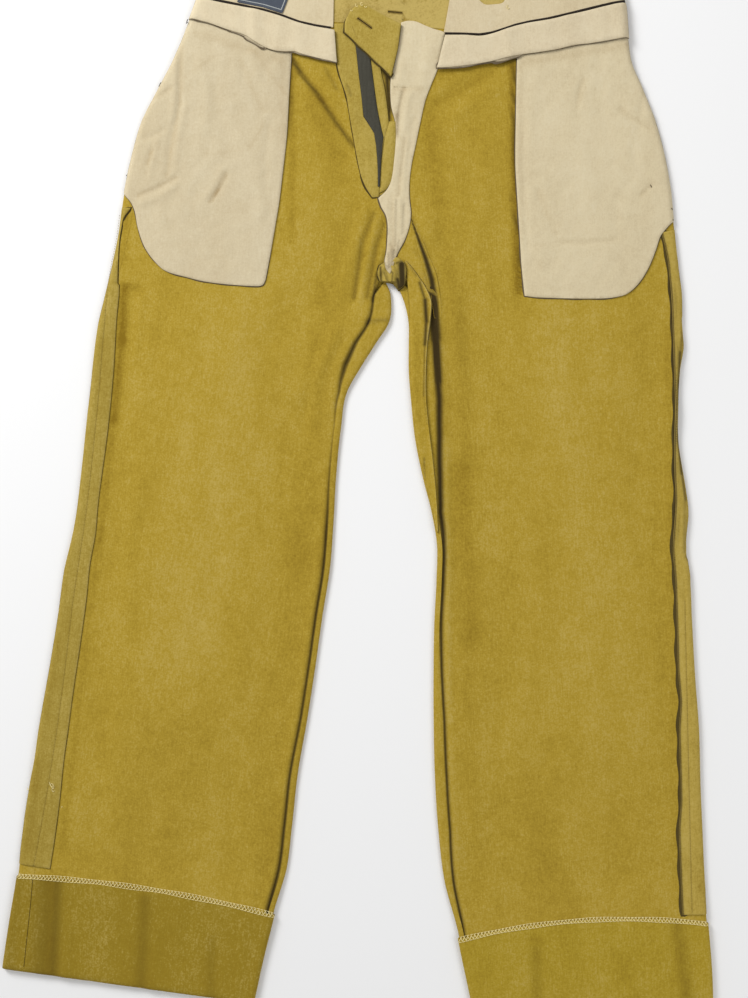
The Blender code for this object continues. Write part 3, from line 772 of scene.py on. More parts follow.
def fill(outline, spacing=FILL_STEP):
    """Triangles over an outline, with a grid of points inside it."""
    low, high = outline.min(0), outline.max(0)
    rows = np.arange(low[1] + spacing / 2, high[1], spacing * FILL_ROWS)
    grid = []
    for number, down in enumerate(rows):
        shift = spacing / 2 if number % 2 else 0
        across = np.arange(low[0] + shift, high[0], spacing)
        grid.append(np.stack((across, np.full(len(across), down)), -1))
    grid = np.vstack(grid)
    away, inside = edge_distance(grid, outline)
    grid = grid[inside & (away > spacing * FILL_MARGIN)]
    points = np.vstack((outline, grid))
    total = len(outline)
    border = [(step, (step + 1) % total) for step in range(total)]
    made = delaunay_2d_cdt([Vector(point) for point in points.tolist()], border, [], 1, 1e-7)
    spots = np.array([tuple(point) for point in made[0]])
    where = {}
    for new, olds in enumerate(made[3]):
        for old in olds:
            where[old] = new
    ring = [where[step] for step in range(total)]
    return spots, [tuple(face) for face in made[2]], ring


def near_marks(points, marks, name):
    """The strongest of a table of edge marks at each point."""
    total = np.zeros(len(points))
    for mark in marks:
        start = np.array((mark.across, mark.down), float)
        run = np.array((mark.to_across, mark.to_down), float) - start
        share = np.clip(((points - start) * run).sum(1) / max((run ** 2).sum(), 1e-9), 0, 1)
        away = np.linalg.norm(points - start - share[:, None] * run, axis=1)
        total = np.maximum(total, getattr(mark, name) * bell(away, mark.half_width, 4))
    return total


def laid_shell(name, leg, outline, low, high, edges=(), more=None, folds=None, tones_and_painted_light=None, darks=None,
               lift_edge=0.0, puff=0.0, spacing=FILL_STEP, soft=False):
    """A sheet that lies on the leg's top skin inside an outline, from low to high above the skin.

    edges: where a dark lip at its foot, painted as the shade under its edge, shows as a dark line, and where
    its raw edge is paler. more: extra height by across and down. lift_edge: how far its edge stands off.
    puff: air under its middle.
    soft: with no dark edge at all.
    """
    spots, faces, ring = fill(outline, spacing)
    x, y = spots[:, 0], spots[:, 1]
    points, out = on_leg(leg, spots)
    extra = np.zeros(len(x))
    if folds is not None:
        extra += fold_height(x, y, folds)
    if more is not None:
        extra += more(x, y)
    away, _ = edge_distance(spots, outline)
    extra += puff * (1 - bell(away, PUFF_REACH))
    extra += lift_edge * bell(away, LIFT_REACH)
    extra = np.maximum(extra, -0.22)
    over = points + out * (high + extra)[:, None]
    under = points + out * (low + np.maximum(extra, 0) * 0.6)[:, None]
    count = len(points)
    ring_points = spots[ring]
    ahead = np.roll(ring_points, -1, axis=0) - np.roll(ring_points, 1, axis=0)
    turn = np.stack((ahead[:, 1], -ahead[:, 0]), -1)
    turn /= np.maximum(np.linalg.norm(turn, axis=1), 1e-9)[:, None]
    area = 0.5 * (ring_points[:, 0] * np.roll(ring_points[:, 1], -1)
                  - np.roll(ring_points[:, 0], -1) * ring_points[:, 1]).sum()
    if area < 0:
        turn = -turn
    flat = np.concatenate((turn, np.zeros((len(turn), 1))), 1)
    base = points[ring]
    normal = out[ring]
    height = (high + extra[ring])[:, None]
    uneven = 1 + 0.25 * np.sin(ring_points[:, 0] * 0.21 + ring_points[:, 1] * 0.17)
    lip = (LIP_LEAST + near_marks(ring_points, edges, "lip") * uneven)[:, None]
    thick = min(high - low, TWILL)
    over[ring] = base + normal * (height - 0.18 * thick)
    lower_points, lower_out = on_leg(leg, base + flat * lip)
    # The last two rings are a lip that reaches out past the edge onto the cloth below; EDGE_SHADES paints them
    # almost black, as the shade under the edge
    rings = [base + flat * 0.3 + normal * (height - 0.5 * thick),
             base + flat * 0.36 + normal * (low + 0.15),
             lower_points + lower_out * (low - 0.05),
             lower_points + lower_out * (low - 0.2)]
    total = len(ring)
    every = np.vstack([over, under] + rings)
    tris = [face if upward(spots, face) else face[::-1] for face in faces]
    polygons = [list(face) for face in tris]
    polygons += [[corner + count for corner in face[::-1]] for face in tris]
    levels = [ring] + [[2 * count + number * total + step for step in range(total)]
                       for number in range(len(rings))] + [[corner + count for corner in ring]]
    for upper, lower in zip(levels, levels[1:]):
        for step in range(total):
            after = (step + 1) % total
            quad = [upper[step], lower[step], lower[after], upper[after]]
            polygons.append(quad[::-1] if area > 0 else quad)
    shade = np.ones(count)
    if darks is not None:
        shade = np.clip(1 - (darks(x, y) if callable(darks) else dark_at(x, y, darks)), SHADE_LEAST, 1)
    edge_shades = SOFT_EDGE_SHADES if soft else EDGE_SHADES
    shade = np.concatenate([shade, shade] + [np.full(total, value) for value in edge_shades])
    tone_and_painted_light = np.zeros(count) if tones_and_painted_light is None else tone_at(x, y, tones_and_painted_light)
    tone_and_painted_light[ring] -= near_marks(ring_points, edges, "pale")
    tone_and_painted_light = np.concatenate([tone_and_painted_light, tone_and_painted_light] + [tone_and_painted_light[ring] for _ in rings])
    return make_object(name, every, polygons, {"shade": shade, "tone_and_painted_light": tone_and_painted_light})


def on_leg(leg, points):
    """Places of the leg's top skin under or over some points."""
    run, distance = leg.find(points[:, 0], points[:, 1])
    points, out = leg.skin(run, distance)
    out[:, :2] *= 0.3
    return points, out


def upward(spots, face):
    """Whether a face over across and down points up once down is turned round."""
    a, b, c = (spots[corner] for corner in face[:3])
    return (b[0] - a[0]) * (c[1] - a[1]) - (b[1] - a[1]) * (c[0] - a[0]) < 0


def thread_points(line, radius, sides):
    """Rings of points round a line, for a thread."""
    line = np.asarray(line, float)
    ahead = np.gradient(line, axis=0)
    ahead /= np.maximum(np.linalg.norm(ahead, axis=1), 1e-9)[:, None]
    up = np.array((0.0, 0.0, 1.0))
    side = np.cross(ahead, up)
    side /= np.maximum(np.linalg.norm(side, axis=1), 1e-9)[:, None]
    rise = np.cross(side, ahead)
    turns = np.arange(sides) * 2 * math.pi / sides
    rings = [line + radius * (side * math.cos(turn) + rise * math.sin(turn)) for turn in turns]
    return np.stack(rings, 1)


def threads(name, lines, radius, sides=4):
    """Many threads as one joined mesh."""
    points = []
    faces = []
    start = 0
    for line in lines:
        rings = thread_points(line, radius, sides)
        count = len(rings)
        points.append(rings.reshape(-1, 3))
        for step in range(count - 1):
            for side in range(sides):
                after = (side + 1) % sides
                a, b = start + step * sides, start + (step + 1) * sides
                faces.append([a + side, a + after, b + after, b + side])
        faces.append([start + side for side in range(sides)][::-1])
        faces.append([start + (count - 1) * sides + side for side in range(sides)])
        start += count * sides
    every = np.vstack(points)
    made = make_object(name, every, faces, {"shade": np.ones(len(every)), "tone_and_painted_light": np.zeros(len(every))})
    turn_outwards(made)
    return made


def turn_outwards(made):
    bpy.ops.object.mode_set(mode="EDIT")
    bpy.ops.mesh.select_all(action="SELECT")
    bpy.ops.mesh.normals_make_consistent(inside=False)
    bpy.ops.object.mode_set(mode="OBJECT")


class Socket:
    """A socket of a material's nodes, which works in sums like a number."""

    def __init__(self, tree, socket=None):
        self.tree = tree
        self.socket = socket

    def node(self, kind, settings=None, inputs=None, output=0):
        """Adds a node of a type, with its settings first and then its sockets' values or links."""
        made = self.tree.nodes.new(kind)
        for name, value in (settings or {}).items():
            setattr(made, name, value)
        for name, value in (inputs or {}).items():
            if isinstance(value, Socket):
                self.tree.links.new(value.socket, made.inputs[name])
            else:
                made.inputs[name].default_value = value
        return Socket(self.tree, made.outputs[output])

    def maths(self, operation, *values):
        return self.node("ShaderNodeMath", {"operation": operation}, dict(enumerate(values)))

    def __add__(self, other):
        return self.maths("ADD", self, other)

    def __radd__(self, other):
        return self.maths("ADD", other, self)

    def __sub__(self, other):
        return self.maths("SUBTRACT", self, other)

    def __mul__(self, other):
        return self.maths("MULTIPLY", self, other)


def blend(flow, share, first, second):
    """One colour fading into another."""
    mix = flow.tree.nodes.new("ShaderNodeMix")
    mix.data_type = "RGBA"
    for socket, value in ((mix.inputs[0], share), (mix.inputs[6], first), (mix.inputs[7], second)):
        if isinstance(value, Socket):
            flow.tree.links.new(value.socket, socket)
        else:
            socket.default_value = value
    return Socket(flow.tree, mix.outputs[2])


def finish(name, roughness, sheen, sheen_tint):
    """A new material, its start socket and its shader."""
    made = bpy.data.materials.new(name)
    made.use_nodes = True
    tree = made.node_tree
    shader = tree.nodes["Principled BSDF"]
    shader.inputs["Roughness"].default_value = roughness
    shader.inputs["Sheen Weight"].default_value = sheen
    shader.inputs["Sheen Roughness"].default_value = 0.6
    shader.inputs["Sheen Tint"].default_value = sheen_tint
    shader.inputs["Specular IOR Level"].default_value = 0.25
    return made, Socket(tree), shader


def colour_of(red, green, blue):
    """A colour given in the screen's 0 to 255 steps, as linear light."""
    steps = [value / 255 for value in (red, green, blue)]
    return tuple(v / 12.92 if v <= 0.04045 else ((v + 0.055) / 1.055) ** 2.4 for v in steps) + (1.0,)


def cloth(name, base, deep, pale, dark, rib_pitch, rib_slope, rib_height, speckle, mottle, wrinkle=0.0,
          roughness=0.9, sheen=0.12, cross_ribs=False, turn=0.0):
    """Woven cotton: ribs of yarn, specks where the yarn is uneven, and soft cloudy patches."""
    made, flow, shader = finish(name, roughness, sheen, pale)

    def noise(vector, scale, detail=2.0):
        return flow.node("ShaderNodeTexNoise", {}, {"Vector": vector, "Scale": scale, "Detail": detail})

    place = flow.node("ShaderNodeTexCoord", output=3)
    place = flow.node("ShaderNodeMapping", {}, {"Vector": place, "Rotation": (0, 0, turn)})
    parts = flow.tree.nodes.new("ShaderNodeSeparateXYZ")
    flow.tree.links.new(place.socket, parts.inputs[0])
    across, along = Socket(flow.tree, parts.outputs[0]), Socket(flow.tree, parts.outputs[1])
    long_clouds = flow.node("ShaderNodeMapping", {}, {"Vector": place, "Scale": (26.0, 7.0, 26.0)})
    clouds = noise(long_clouds, 1.0, 3.0)
    patches = noise(place, 70.0)
    specks = noise(place, 620.0)
    long_place = flow.node("ShaderNodeMapping", {}, {"Vector": place, "Scale": (900.0, 90.0, 900.0)})
    slubs = noise(long_place, 1.0, 1.0)
    wobble = (patches - 0.5) * 0.0012
    ribs = flow.maths("SINE", (across + along * rib_slope + wobble) * (2 * math.pi / rib_pitch))
    if cross_ribs:
        other = flow.maths("SINE", (along - across * rib_slope + wobble) * (2 * math.pi / rib_pitch))
        ribs = ribs * other
    tone_and_painted_light = flow.node("ShaderNodeAttribute", {"attribute_name": "tone_and_painted_light"}, output=2)
    shade = flow.node("ShaderNodeAttribute", {"attribute_name": "shade"}, output=2)
    value = (clouds - 0.5) * mottle + (patches - 0.5) * mottle * 0.7 + (specks - 0.5) * speckle
    grains = noise(place, 290.0)
    value = value + (slubs - 0.5) * speckle * 0.5 + (grains - 0.5) * speckle * 0.6 + ribs * 0.035
    # The tone mark holds the cloth's own tone together with painted shade and painted highlights
    deeper = flow.node("ShaderNodeClamp", {}, {"Value": tone_and_painted_light * 0.6 - value, "Min": 0.0, "Max": 1.0})
    paler = flow.node("ShaderNodeClamp", {}, {"Value": value - tone_and_painted_light * 0.5, "Min": 0.0, "Max": 1.0})
    colour = blend(flow, deeper, base, deep)
    colour = blend(flow, paler, colour, pale)
    # Painted shade: where the shade mark is low the colour goes over to the dark colour
    colour = blend(flow, shade, dark, colour)
    flow.tree.links.new(colour.socket, shader.inputs["Base Color"])
    rough = roughness + (specks - 0.5) * 0.1
    flow.tree.links.new(rough.socket, shader.inputs["Roughness"])
    height = ribs * rib_height + (specks - 0.5) * rib_height * 1.5 + (patches - 0.5) * wrinkle
    bump = flow.node("ShaderNodeBump", {}, {"Height": height, "Distance": 1.0, "Strength": 1.0})
    flow.tree.links.new(bump.socket, shader.inputs["Normal"])
    return made


def make_finishes():
    # deep and pale are the ends of the cloth's tone and of painted light; dark is the colour of the deepest
    # painted shade
    olive = dict(deep=colour_of(134, 106, 14), pale=colour_of(198, 175, 98), dark=colour_of(34, 22, 4),
                 rib_pitch=0.0011, rib_slope=0.9, rib_height=0.00006, speckle=1.15, mottle=0.7,
                 wrinkle=0.0003)
    cream = dict(deep=colour_of(172, 150, 112), pale=colour_of(230, 220, 192), dark=colour_of(62, 45, 22),
                 rib_pitch=0.0009, rib_slope=0.0, rib_height=0.00004, speckle=0.6, mottle=0.5,
                 wrinkle=0.0006, cross_ribs=True)
    thread = dict(rib_pitch=0.0006, rib_slope=1.0, rib_height=0.00003, speckle=0.4, mottle=0.2)
    return {
        "olive_left": cloth("olive_twill_left", colour_of(173, 145, 45), turn=0.13, **olive),
        "olive_right": cloth("olive_twill_right", colour_of(173, 145, 45), turn=-0.07, **olive),
        "olive_pale": cloth("olive_twill_facing", colour_of(172, 149, 66), turn=0.2, **olive),
        "olive_strip_left": cloth("olive_twill_seam_left", colour_of(164, 141, 58), turn=0.1, **olive),
        "olive_strip_right": cloth("olive_twill_seam_right", colour_of(179, 154, 68), turn=-0.05, **olive),
        "olive_waist": cloth("olive_twill_waistband", colour_of(187, 164, 92), turn=1.2, **olive),
        # The left turn-up's twill is a darker copy, painted shade where less light falls at the lower left
        "olive_hem_left": cloth("olive_twill_hem_left_painted_shade", colour_of(151, 126, 30), turn=0.13, **olive),
        "olive_hem_right": cloth("olive_twill_hem_right", colour_of(170, 144, 38), turn=-0.05, **olive),
        "cream": cloth("cream_pocketing", colour_of(210, 195, 160), **cream),
        "cream_left": cloth("cream_pocketing_left", colour_of(203, 188, 155), **cream),
        "cream_lining": cloth("cream_waist_lining", colour_of(208, 192, 157), **cream),
        "cream_curtain": cloth("cream_curtain", colour_of(212, 197, 165), **cream),
        "piping": cloth("black_brown_piping", colour_of(40, 33, 26), colour_of(22, 18, 14),
                        colour_of(70, 60, 48), colour_of(8, 6, 4), 0.0009, 0.4, 0.00006, 0.5, 0.3),
        "tape": cloth("grey_zip_tape", colour_of(68, 66, 56), colour_of(46, 44, 36), colour_of(92, 90, 80),
                      colour_of(18, 16, 12), 0.0013, 0.0, 0.00012, 0.6, 0.2),
        "label": cloth("slate_label", colour_of(74, 80, 90), colour_of(52, 58, 68), colour_of(104, 110, 120),
                       colour_of(18, 20, 26), 0.0008, 0.0, 0.00005, 0.5, 0.2, cross_ribs=True),
        "border": cloth("pale_border_thread", colour_of(190, 194, 192), colour_of(150, 154, 152),
                        colour_of(214, 216, 214), colour_of(60, 62, 62), **thread),
        "thread": cloth("pale_thread", colour_of(236, 220, 156), colour_of(204, 184, 112),
                        colour_of(248, 238, 194), colour_of(60, 46, 16), **thread),
        "cream_thread": cloth("cream_thread", colour_of(186, 168, 130), colour_of(150, 132, 96),
                              colour_of(206, 190, 156), colour_of(60, 46, 26), **thread),
        "olive_thread": cloth("olive_thread", colour_of(150, 126, 56), colour_of(110, 88, 28),
                              colour_of(186, 166, 96), colour_of(40, 30, 8), **thread),
        "dark_thread_and_slit_shadow": cloth("dark_thread_and_slit_shadow", colour_of(52, 40, 18), colour_of(34, 24, 8),
                             colour_of(78, 64, 36), colour_of(12, 8, 3), **thread),
    }


FINISHES = {}


def dress(made, finish_name, slot, *nodes):
    """Gives a piece its material, and puts it in the place of its CAD nodes; its slot is not used."""
    made.data.materials.clear()
    made.data.materials.append(FINISHES[finish_name])
    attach(made, "root")
    for node in nodes:
        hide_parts(node)


def runs_between(first, last):
    """Runs about a step apart."""
    count = max(2, int(round((last - first) / RUN_STEP)) + 1)
    return np.linspace(first, last, count)


# The middle and half widths of a strip of painted shadow on the right front, beside its inner edge
SHADOW_STRIP_LINE = [(410.6, 217), (417.6, 237), (425.6, 259), (431.4, 279), (434.8, 300), (436.4, 318)]
SHADOW_STRIP_WIDTHS = [0.8, 1.7, 2.7, 3.3, 3.3, 3.0]


def joined(columns):
    """Points, outward directions and shades of columns side by side."""
    return [np.stack([column[part] for column in columns], 1) for part in range(3)]


def make_fronts():
    for side, leg in LEGS.items():
        runs = runs_between(leg.run_of(1) + GAP / 2, leg.run_of(-1))
        steps = np.linspace(0, 1, FRONT_COLUMNS)
        steps = steps - 0.4 * np.sin(2 * math.pi * steps) / (2 * math.pi)
        run = np.repeat(runs[:, None], FRONT_COLUMNS, 1)
        first = leg.size(run, "side_seam") + GAP / 2
        last = leg.width(run) - leg.size(run, "inseam") - GAP / 2
        distance = first + (last - first) * steps[None]
        points, out = leg.skin(run, distance, inner=False)
        out[:] = (0, 0, 1)
        x, y = points[..., 0], points[..., 1]
        to_inseam = last - distance
        depth = leg.gap_at(y, "depth") * leg.size(run, "wrap")
        points[..., 2] += depth * 0.55 * bell(to_inseam - 5, 4.5)
        points[..., 2] -= depth * 0.9 * bell(to_inseam, 1.6)
        # Painted shade: the gap beside the inner edge and the hollows in DARKS are painted dark
        dark = leg.gap_at(y, "dark") * leg.size(run, "wrap")
        shade = 1 - 0.95 * dark * bell(to_inseam, 0.42 * leg.gap_at(y, "width") + 0.3)
        shade = np.clip(shade - dark_at(x, y, DARKS), SHADE_LEAST, 1)
        made = grid_shell("front_" + side + "_cloth", points, out, -TWILL, 0, shade, tone_at(x, y, TONES_AND_PAINTED_LIGHT))
        dress(made, "olive_" + side, "twill", "front_" + side)
    # A thin sheet laid on the right front and painted almost black, as the shadow in the hollow beside its
    # inner edge
    outline = closed_outline(
        [(410.4, 214), (416.4, 229), (423, 243), (429, 258), (435, 272), (438.4, 288), (440.4, 304),
         (441, 318)],
        [(434.4, 318), (432.4, 304), (430.4, 290), (426, 274), (420.8, 258), (415.6, 240),
         (411.4, 226), (409.8, 217)])
    middle = np.array(SHADOW_STRIP_LINE)

    def dip(x, y):
        away = x - np.interp(y, middle[:, 1], middle[:, 0])
        return 0.7 * np.exp(-((away - 4.6) / 2.2) ** 2) - 0.2 * np.exp(-(away / 2) ** 2)


    def darks(x, y):
        width = np.interp(y, middle[:, 1], SHADOW_STRIP_WIDTHS)
        away = x - np.interp(y, middle[:, 1], middle[:, 0])
        away = np.where((away < 0) & (y > 286), 0, np.abs(away))
        return 0.97 * np.exp(-(away / width) ** 3)

    made = laid_shell("front_right_shadow_strip", RIGHT, outline, 0.05, 0.25, more=dip, darks=darks, tones_and_painted_light=TONES_AND_PAINTED_LIGHT,
                      spacing=1.3, soft=True)
    dress(made, "olive_right", "twill")


def make_backs():
    for side, leg in LEGS.items():
        runs = runs_between(leg.run_of(1) + GAP / 2, leg.run_of(-1))
        lift = leg.size(runs, "lift")
        width = leg.width(runs)
        crotch = leg.run_of(CROTCH_ROW)
        wrap = np.clip((runs - crotch) / (leg.run_of(CROTCH_ROW + 1) - crotch), 0, 1)
        wrap = wrap * wrap * (3 - 2 * wrap)
        columns = []
        seam = leg.size(runs, "side_seam") - GAP / 2
        start = lift + TURN_TOP
        for share in np.linspace(0, 1, 6):
            columns.append(top_column(leg, runs, seam + (start - seam) * share))
        for degrees in TURN_DEGREES[1:]:
            columns.append(turn_column(leg, runs, degrees, False))
        first = lift + 6
        last = width - lift - 6
        under_count = int(np.median(last - first) / UNDER_STEP)
        for share in np.linspace(0, 1, under_count):
            columns.append(under_column(leg, runs, first + (last - first) * share))
        inseam = leg.size(runs, "inseam") + GAP / 2
        wrapped = [turn_column(leg, runs, degrees, True) for degrees in TURN_DEGREES[::-1]]
        reach = width - lift - TURN_TOP
        stop = width - inseam
        for share in np.linspace(0, 1, 15)[1:]:
            column = top_column(leg, runs, reach + (stop - reach) * share)
            from_seam = (reach - stop) * (1 - share)
            down = column[0][:, 1]
            depth, gap = leg.gap_at(down, "depth"), leg.gap_at(down, "width")
            column[0][:, 2] -= depth * bell(from_seam, 0.8 * gap)
            # Painted shade in the gap beside the inseam
            dark = leg.gap_at(down, "dark") * bell(from_seam, 0.62 * gap, 4)
            wrapped.append((column[0], column[1], 1 - DARKEST * dark))
        flat = [under_column(leg, runs, width - GAP / 2 - 5.8 * (1 - share))
                for share in np.linspace(0, 1, len(wrapped))]
        for (place, out, shade), (flat_place, flat_out, flat_shade) in zip(wrapped, flat):
            share = wrap[:, None]
            columns.append((flat_place + (place - flat_place) * share, flat_out + (out - flat_out) * share,
                            flat_shade + (shade - flat_shade) * wrap))
        points, out, shade = joined(columns)
        out /= np.maximum(np.linalg.norm(out, axis=-1), 1e-9)[..., None]
        x, y = points[..., 0], points[..., 1]
        above = out[..., 2] > -0.5
        shade = np.clip(shade - dark_at(x, y, DARKS) * above, SHADE_LEAST, 1)
        made = grid_shell("back_" + side + "_cloth", points, out, -TWILL, 0, shade,
                          tone_at(x, y, TONES_AND_PAINTED_LIGHT) * above, faces_down=True)
        dress(made, "olive_" + side, "twill", "back_" + side)


def top_column(leg, runs, distance, **options):
    points, out = leg.skin(runs, distance, inner=False, **options)
    out = np.zeros_like(out)
    out[:, 2] = 1
    return points, out, np.ones(len(runs))


def turn_column(leg, runs, degrees, inner, more=0.0, lift=None, folds=CREASES):
    """Points where the cloth turns round a side: 90 is on top, 0 at the side, -90 below."""
    angle = math.radians(degrees)
    base = leg.base(runs, lift)
    radius = TURN_TOP if degrees > 0 else TURN_UNDER
    distance = base + radius * (1 - math.cos(angle))
    sign = -1.0
    if inner:
        distance = leg.width(runs) - distance
        sign = 1.0
    top = leg.top(runs, distance, more, lift, folds)
    middle = (base + top) / 2
    up = middle + (top - middle) * math.sin(angle)
    side_x, side_y = leg.inward(runs)
    x, y = leg.place(runs, distance)
    out = np.stack((side_x * sign * math.cos(angle), side_y * sign * math.cos(angle),
                    np.full(len(runs), math.sin(angle))), -1)
    return np.stack((x, y, up), -1), out, np.ones(len(runs))


def under_column(leg, runs, distance, lift=None):
    """Points of the underside, with shallow creases pressed up into it."""
    base = leg.base(runs, lift)
    x, y = leg.place(runs, distance)
    creases = fold_height(x + 23.0, y + 11.0, CREASES)
    up = base + np.clip(-creases + 0.4 * ripple(x, y), 0, 0.5)
    out = np.zeros((len(runs), 3))
    out[:, 2] = -1
    return np.stack((x, y, up), -1), out, np.ones(len(runs))


# Painted shade on the turn-ups: darker at the lower left where less light falls, and in their creases
HEM_PAINTED_SHADE = named(Stretch, (
    (46, 870, 42, 975, 15, 0.26), (58, 876, 53, 972, 6, 0.34), (18, 880, 10, 964, 12, 0.12),
    (146, 900, 141, 990, 6, 0.18), (212, 940, 210, 998, 5, 0.1), (536, 950, 538, 1018, 6, 0.12),
    (678, 926, 688, 1010, 7, 0.16),
))


def make_hems():
    for side, leg in LEGS.items():
        runs = runs_between(leg.run_of(HEM_ROW), leg.run_of(-1))
        options = dict(more=2 * PLY_STEP, lift=0.0, folds=HEM_CREASES)
        columns = [turn_column(leg, runs, degrees, False, **options) for degrees in TOP_DEGREES]
        width = leg.width(runs)
        for share in np.linspace(0, 1, 70)[1:-1]:
            columns.append(top_column(leg, runs, TURN_TOP + (width - 2 * TURN_TOP) * share, **options))
        columns += [turn_column(leg, runs, degrees, True, **options) for degrees in TOP_DEGREES[::-1]]
        points, out, _ = joined(columns)
        foot = leg.run_of(-1) - runs
        points[..., 2] -= (0.9 * bell(foot, 1.8))[:, None]
        # Painted shade along the folded foot of each turn-up
        shade = 1 - 0.25 * bell(foot, 1.5)[:, None] * np.ones(len(columns))
        shade = np.clip(shade - dark_at(points[..., 0], points[..., 1], HEM_PAINTED_SHADE), SHADE_LEAST, 1)
        tone_and_painted_light = tone_at(points[..., 0], points[..., 1], TONES_AND_PAINTED_LIGHT)
        made = grid_shell("hem_front_" + side + "_cloth", points, out, -TWILL, 0, shade, tone_and_painted_light)
        dress(made, "olive_hem_" + side, "twill", "hem_front_" + side)
        columns = [turn_column(leg, runs, degrees, False, **options) for degrees in UNDER_DEGREES]
        for share in np.linspace(0, 1, 40):
            columns.append(under_column(leg, runs, 6 + (width - 12) * share, lift=0.0))
        columns += [turn_column(leg, runs, degrees, True, **options) for degrees in UNDER_DEGREES[::-1]]
        points, out, _ = joined(columns)
        made = grid_shell("hem_back_" + side + "_cloth", points, out, -TWILL, 0, faces_down=True)
        dress(made, "olive_hem_" + side, "twill", "hem_back_" + side)


def waist_skin(leg, shares, distances):
    """Points of the waistband's top by shares of its depth and distances from the outer side."""
    shares = np.asarray(shares, float)
    if shares.ndim == 1:
        shares = shares[:, None]
    shares, distances = np.broadcast_arrays(shares, np.asarray(distances, float))
    return leg.skin(leg.run_of(1) * shares, distances, inner=False)


def distance_at(leg, share, across):
    """The distance from the outer side to a place across, at a share of the waistband's depth."""
    line = leg.outline(np.array([leg.run_of(1) * share]))[0]
    return float((across - line[0]) / (line[2] - line[0]) * math.hypot(line[2] - line[0], line[3] - line[1]))


def waist_reach(leg, across):
    """The distance from the outer side to a place across, in the middle of the waistband."""
    _, distance = leg.find(np.array([across], float), np.array([8.0]))
    return float(distance[0])


# The piping's middle, as across and down
PIPING_LINES = {
    "left": [(197, -2.5), (234, 5), (262, 10.5), (283, 17), (300, 23.5), (317, 27.5), (334.3, 30.6)],
    "right": [(445, 35.7), (465.5, 35.9), (479.5, 36.6), (491, 34.5), (503.8, 30), (516.5, 25.5), (529, 22.6),
              (548, 19.6), (567.6, 15), (593, 9), (612, 4.4), (626, 2)],
}


def piping_share(side, distances):
    """How deep in the waistband the piping's middle runs, as a share, at each distance."""
    leg = LEGS[side]
    line = np.array(PIPING_LINES[side])
    run = np.full(len(distances), leg.run_of(1))
    x, y = leg.place(run, np.asarray(distances, float))
    order = np.argsort(line[:, 0])
    down = np.interp(x, line[order, 0], line[order, 1])
    return 1 + (down - y) / WAIST_DEPTH


# The waistband's seam lines, painted shade along the left end's fold and edge, and a paler patch by the
# buttonhole
WAIST_SEAMS_AND_SHADE = named(Stretch, (
    (403, -9, 404, 24, 0.9, 0.9), (376.6, -12, 376.6, 10, 0.8, 0.5), (406, 20, 444, 32, 1.2, 0.5),
    (336, 24, 402, 25, 1.0, 0.3), (386, 6, 402, 8, 4, -0.3), (345, 0, 352, 20, 5, 0.2),
))


def make_waistband():
    seam = 1 - GAP / 2 / WAIST_DEPTH
    ends = {"left": (333.8, 333.2), "right": (451.0, 444.6)}
    for side, leg in LEGS.items():
        width = float(leg.width(np.array([leg.run_of(1)]))[0])
        distances = np.concatenate((1.5 + TURN_TOP * (1 - np.cos(np.radians(TOP_DEGREES))),
                                    np.linspace(9, width, 64)))
        points, out = waist_skin(leg, np.linspace(0, seam, 14), distances)
        made = grid_shell("waistband_" + side + "_cloth", points, out, -TWILL, WAISTBAND_ABOVE, None,
                          tone_at(points[..., 0], points[..., 1], WAIST_SEAMS_AND_SHADE))
        dress(made, "olive_waist", "twill", "waistband_" + side)
        low = WAISTBAND_ABOVE + GAP
        begin = 1.5 + TURN_TOP * 0.25
        reach = distance_at(leg, 1.0, ends[side][1])
        distances = np.linspace(begin, reach, 76)
        middle = piping_share(side, distances)
        half = PIPING_WIDTH / 2 / WAIST_DEPTH
        x, _ = leg.place(np.zeros(76), distances)
        top = 0.1 + 0.26 * bell(x - 480.5, 15, 6)
        shares = top + (middle - half * 0.87 - top) * np.linspace(0, 1, 14)[:, None]
        reaches = np.array([distance_at(leg, share, ends[side][0] + (ends[side][1] - ends[side][0]) * share)
                            for share in shares[:, -1]])
        spread = begin + (distances - begin)[None] * ((reaches - begin) / (reach - begin))[:, None]
        points, out = waist_skin(leg, shares, spread)
        points[..., 2] += (np.sin(distances / 7.5) * 0.3)[None] * np.linspace(0.4, 1, 14)[:, None] + 0.3
        made = grid_shell("waistband_lining_" + side + "_cloth", points, out, low, low + COTTON, None,
                          tone_at(points[..., 0], points[..., 1], CREAM_PAINTED_SHADE))
        dress(made, "cream_lining", "lining", "waistband_lining_" + side)
        angles = np.radians(np.linspace(-10, 190, 9))
        shares = middle + np.cos(angles)[:, None] * half
        points, out = waist_skin(leg, shares, distances)
        out[..., 2] = 1
        points[..., 2] += (np.sin(angles) * 0.8)[:, None] + 0.4
        made = grid_shell("piping_" + side + "_cord", points, out, low - 0.1, low + 0.7)
        dress(made, "piping", "piping", "piping_" + side)


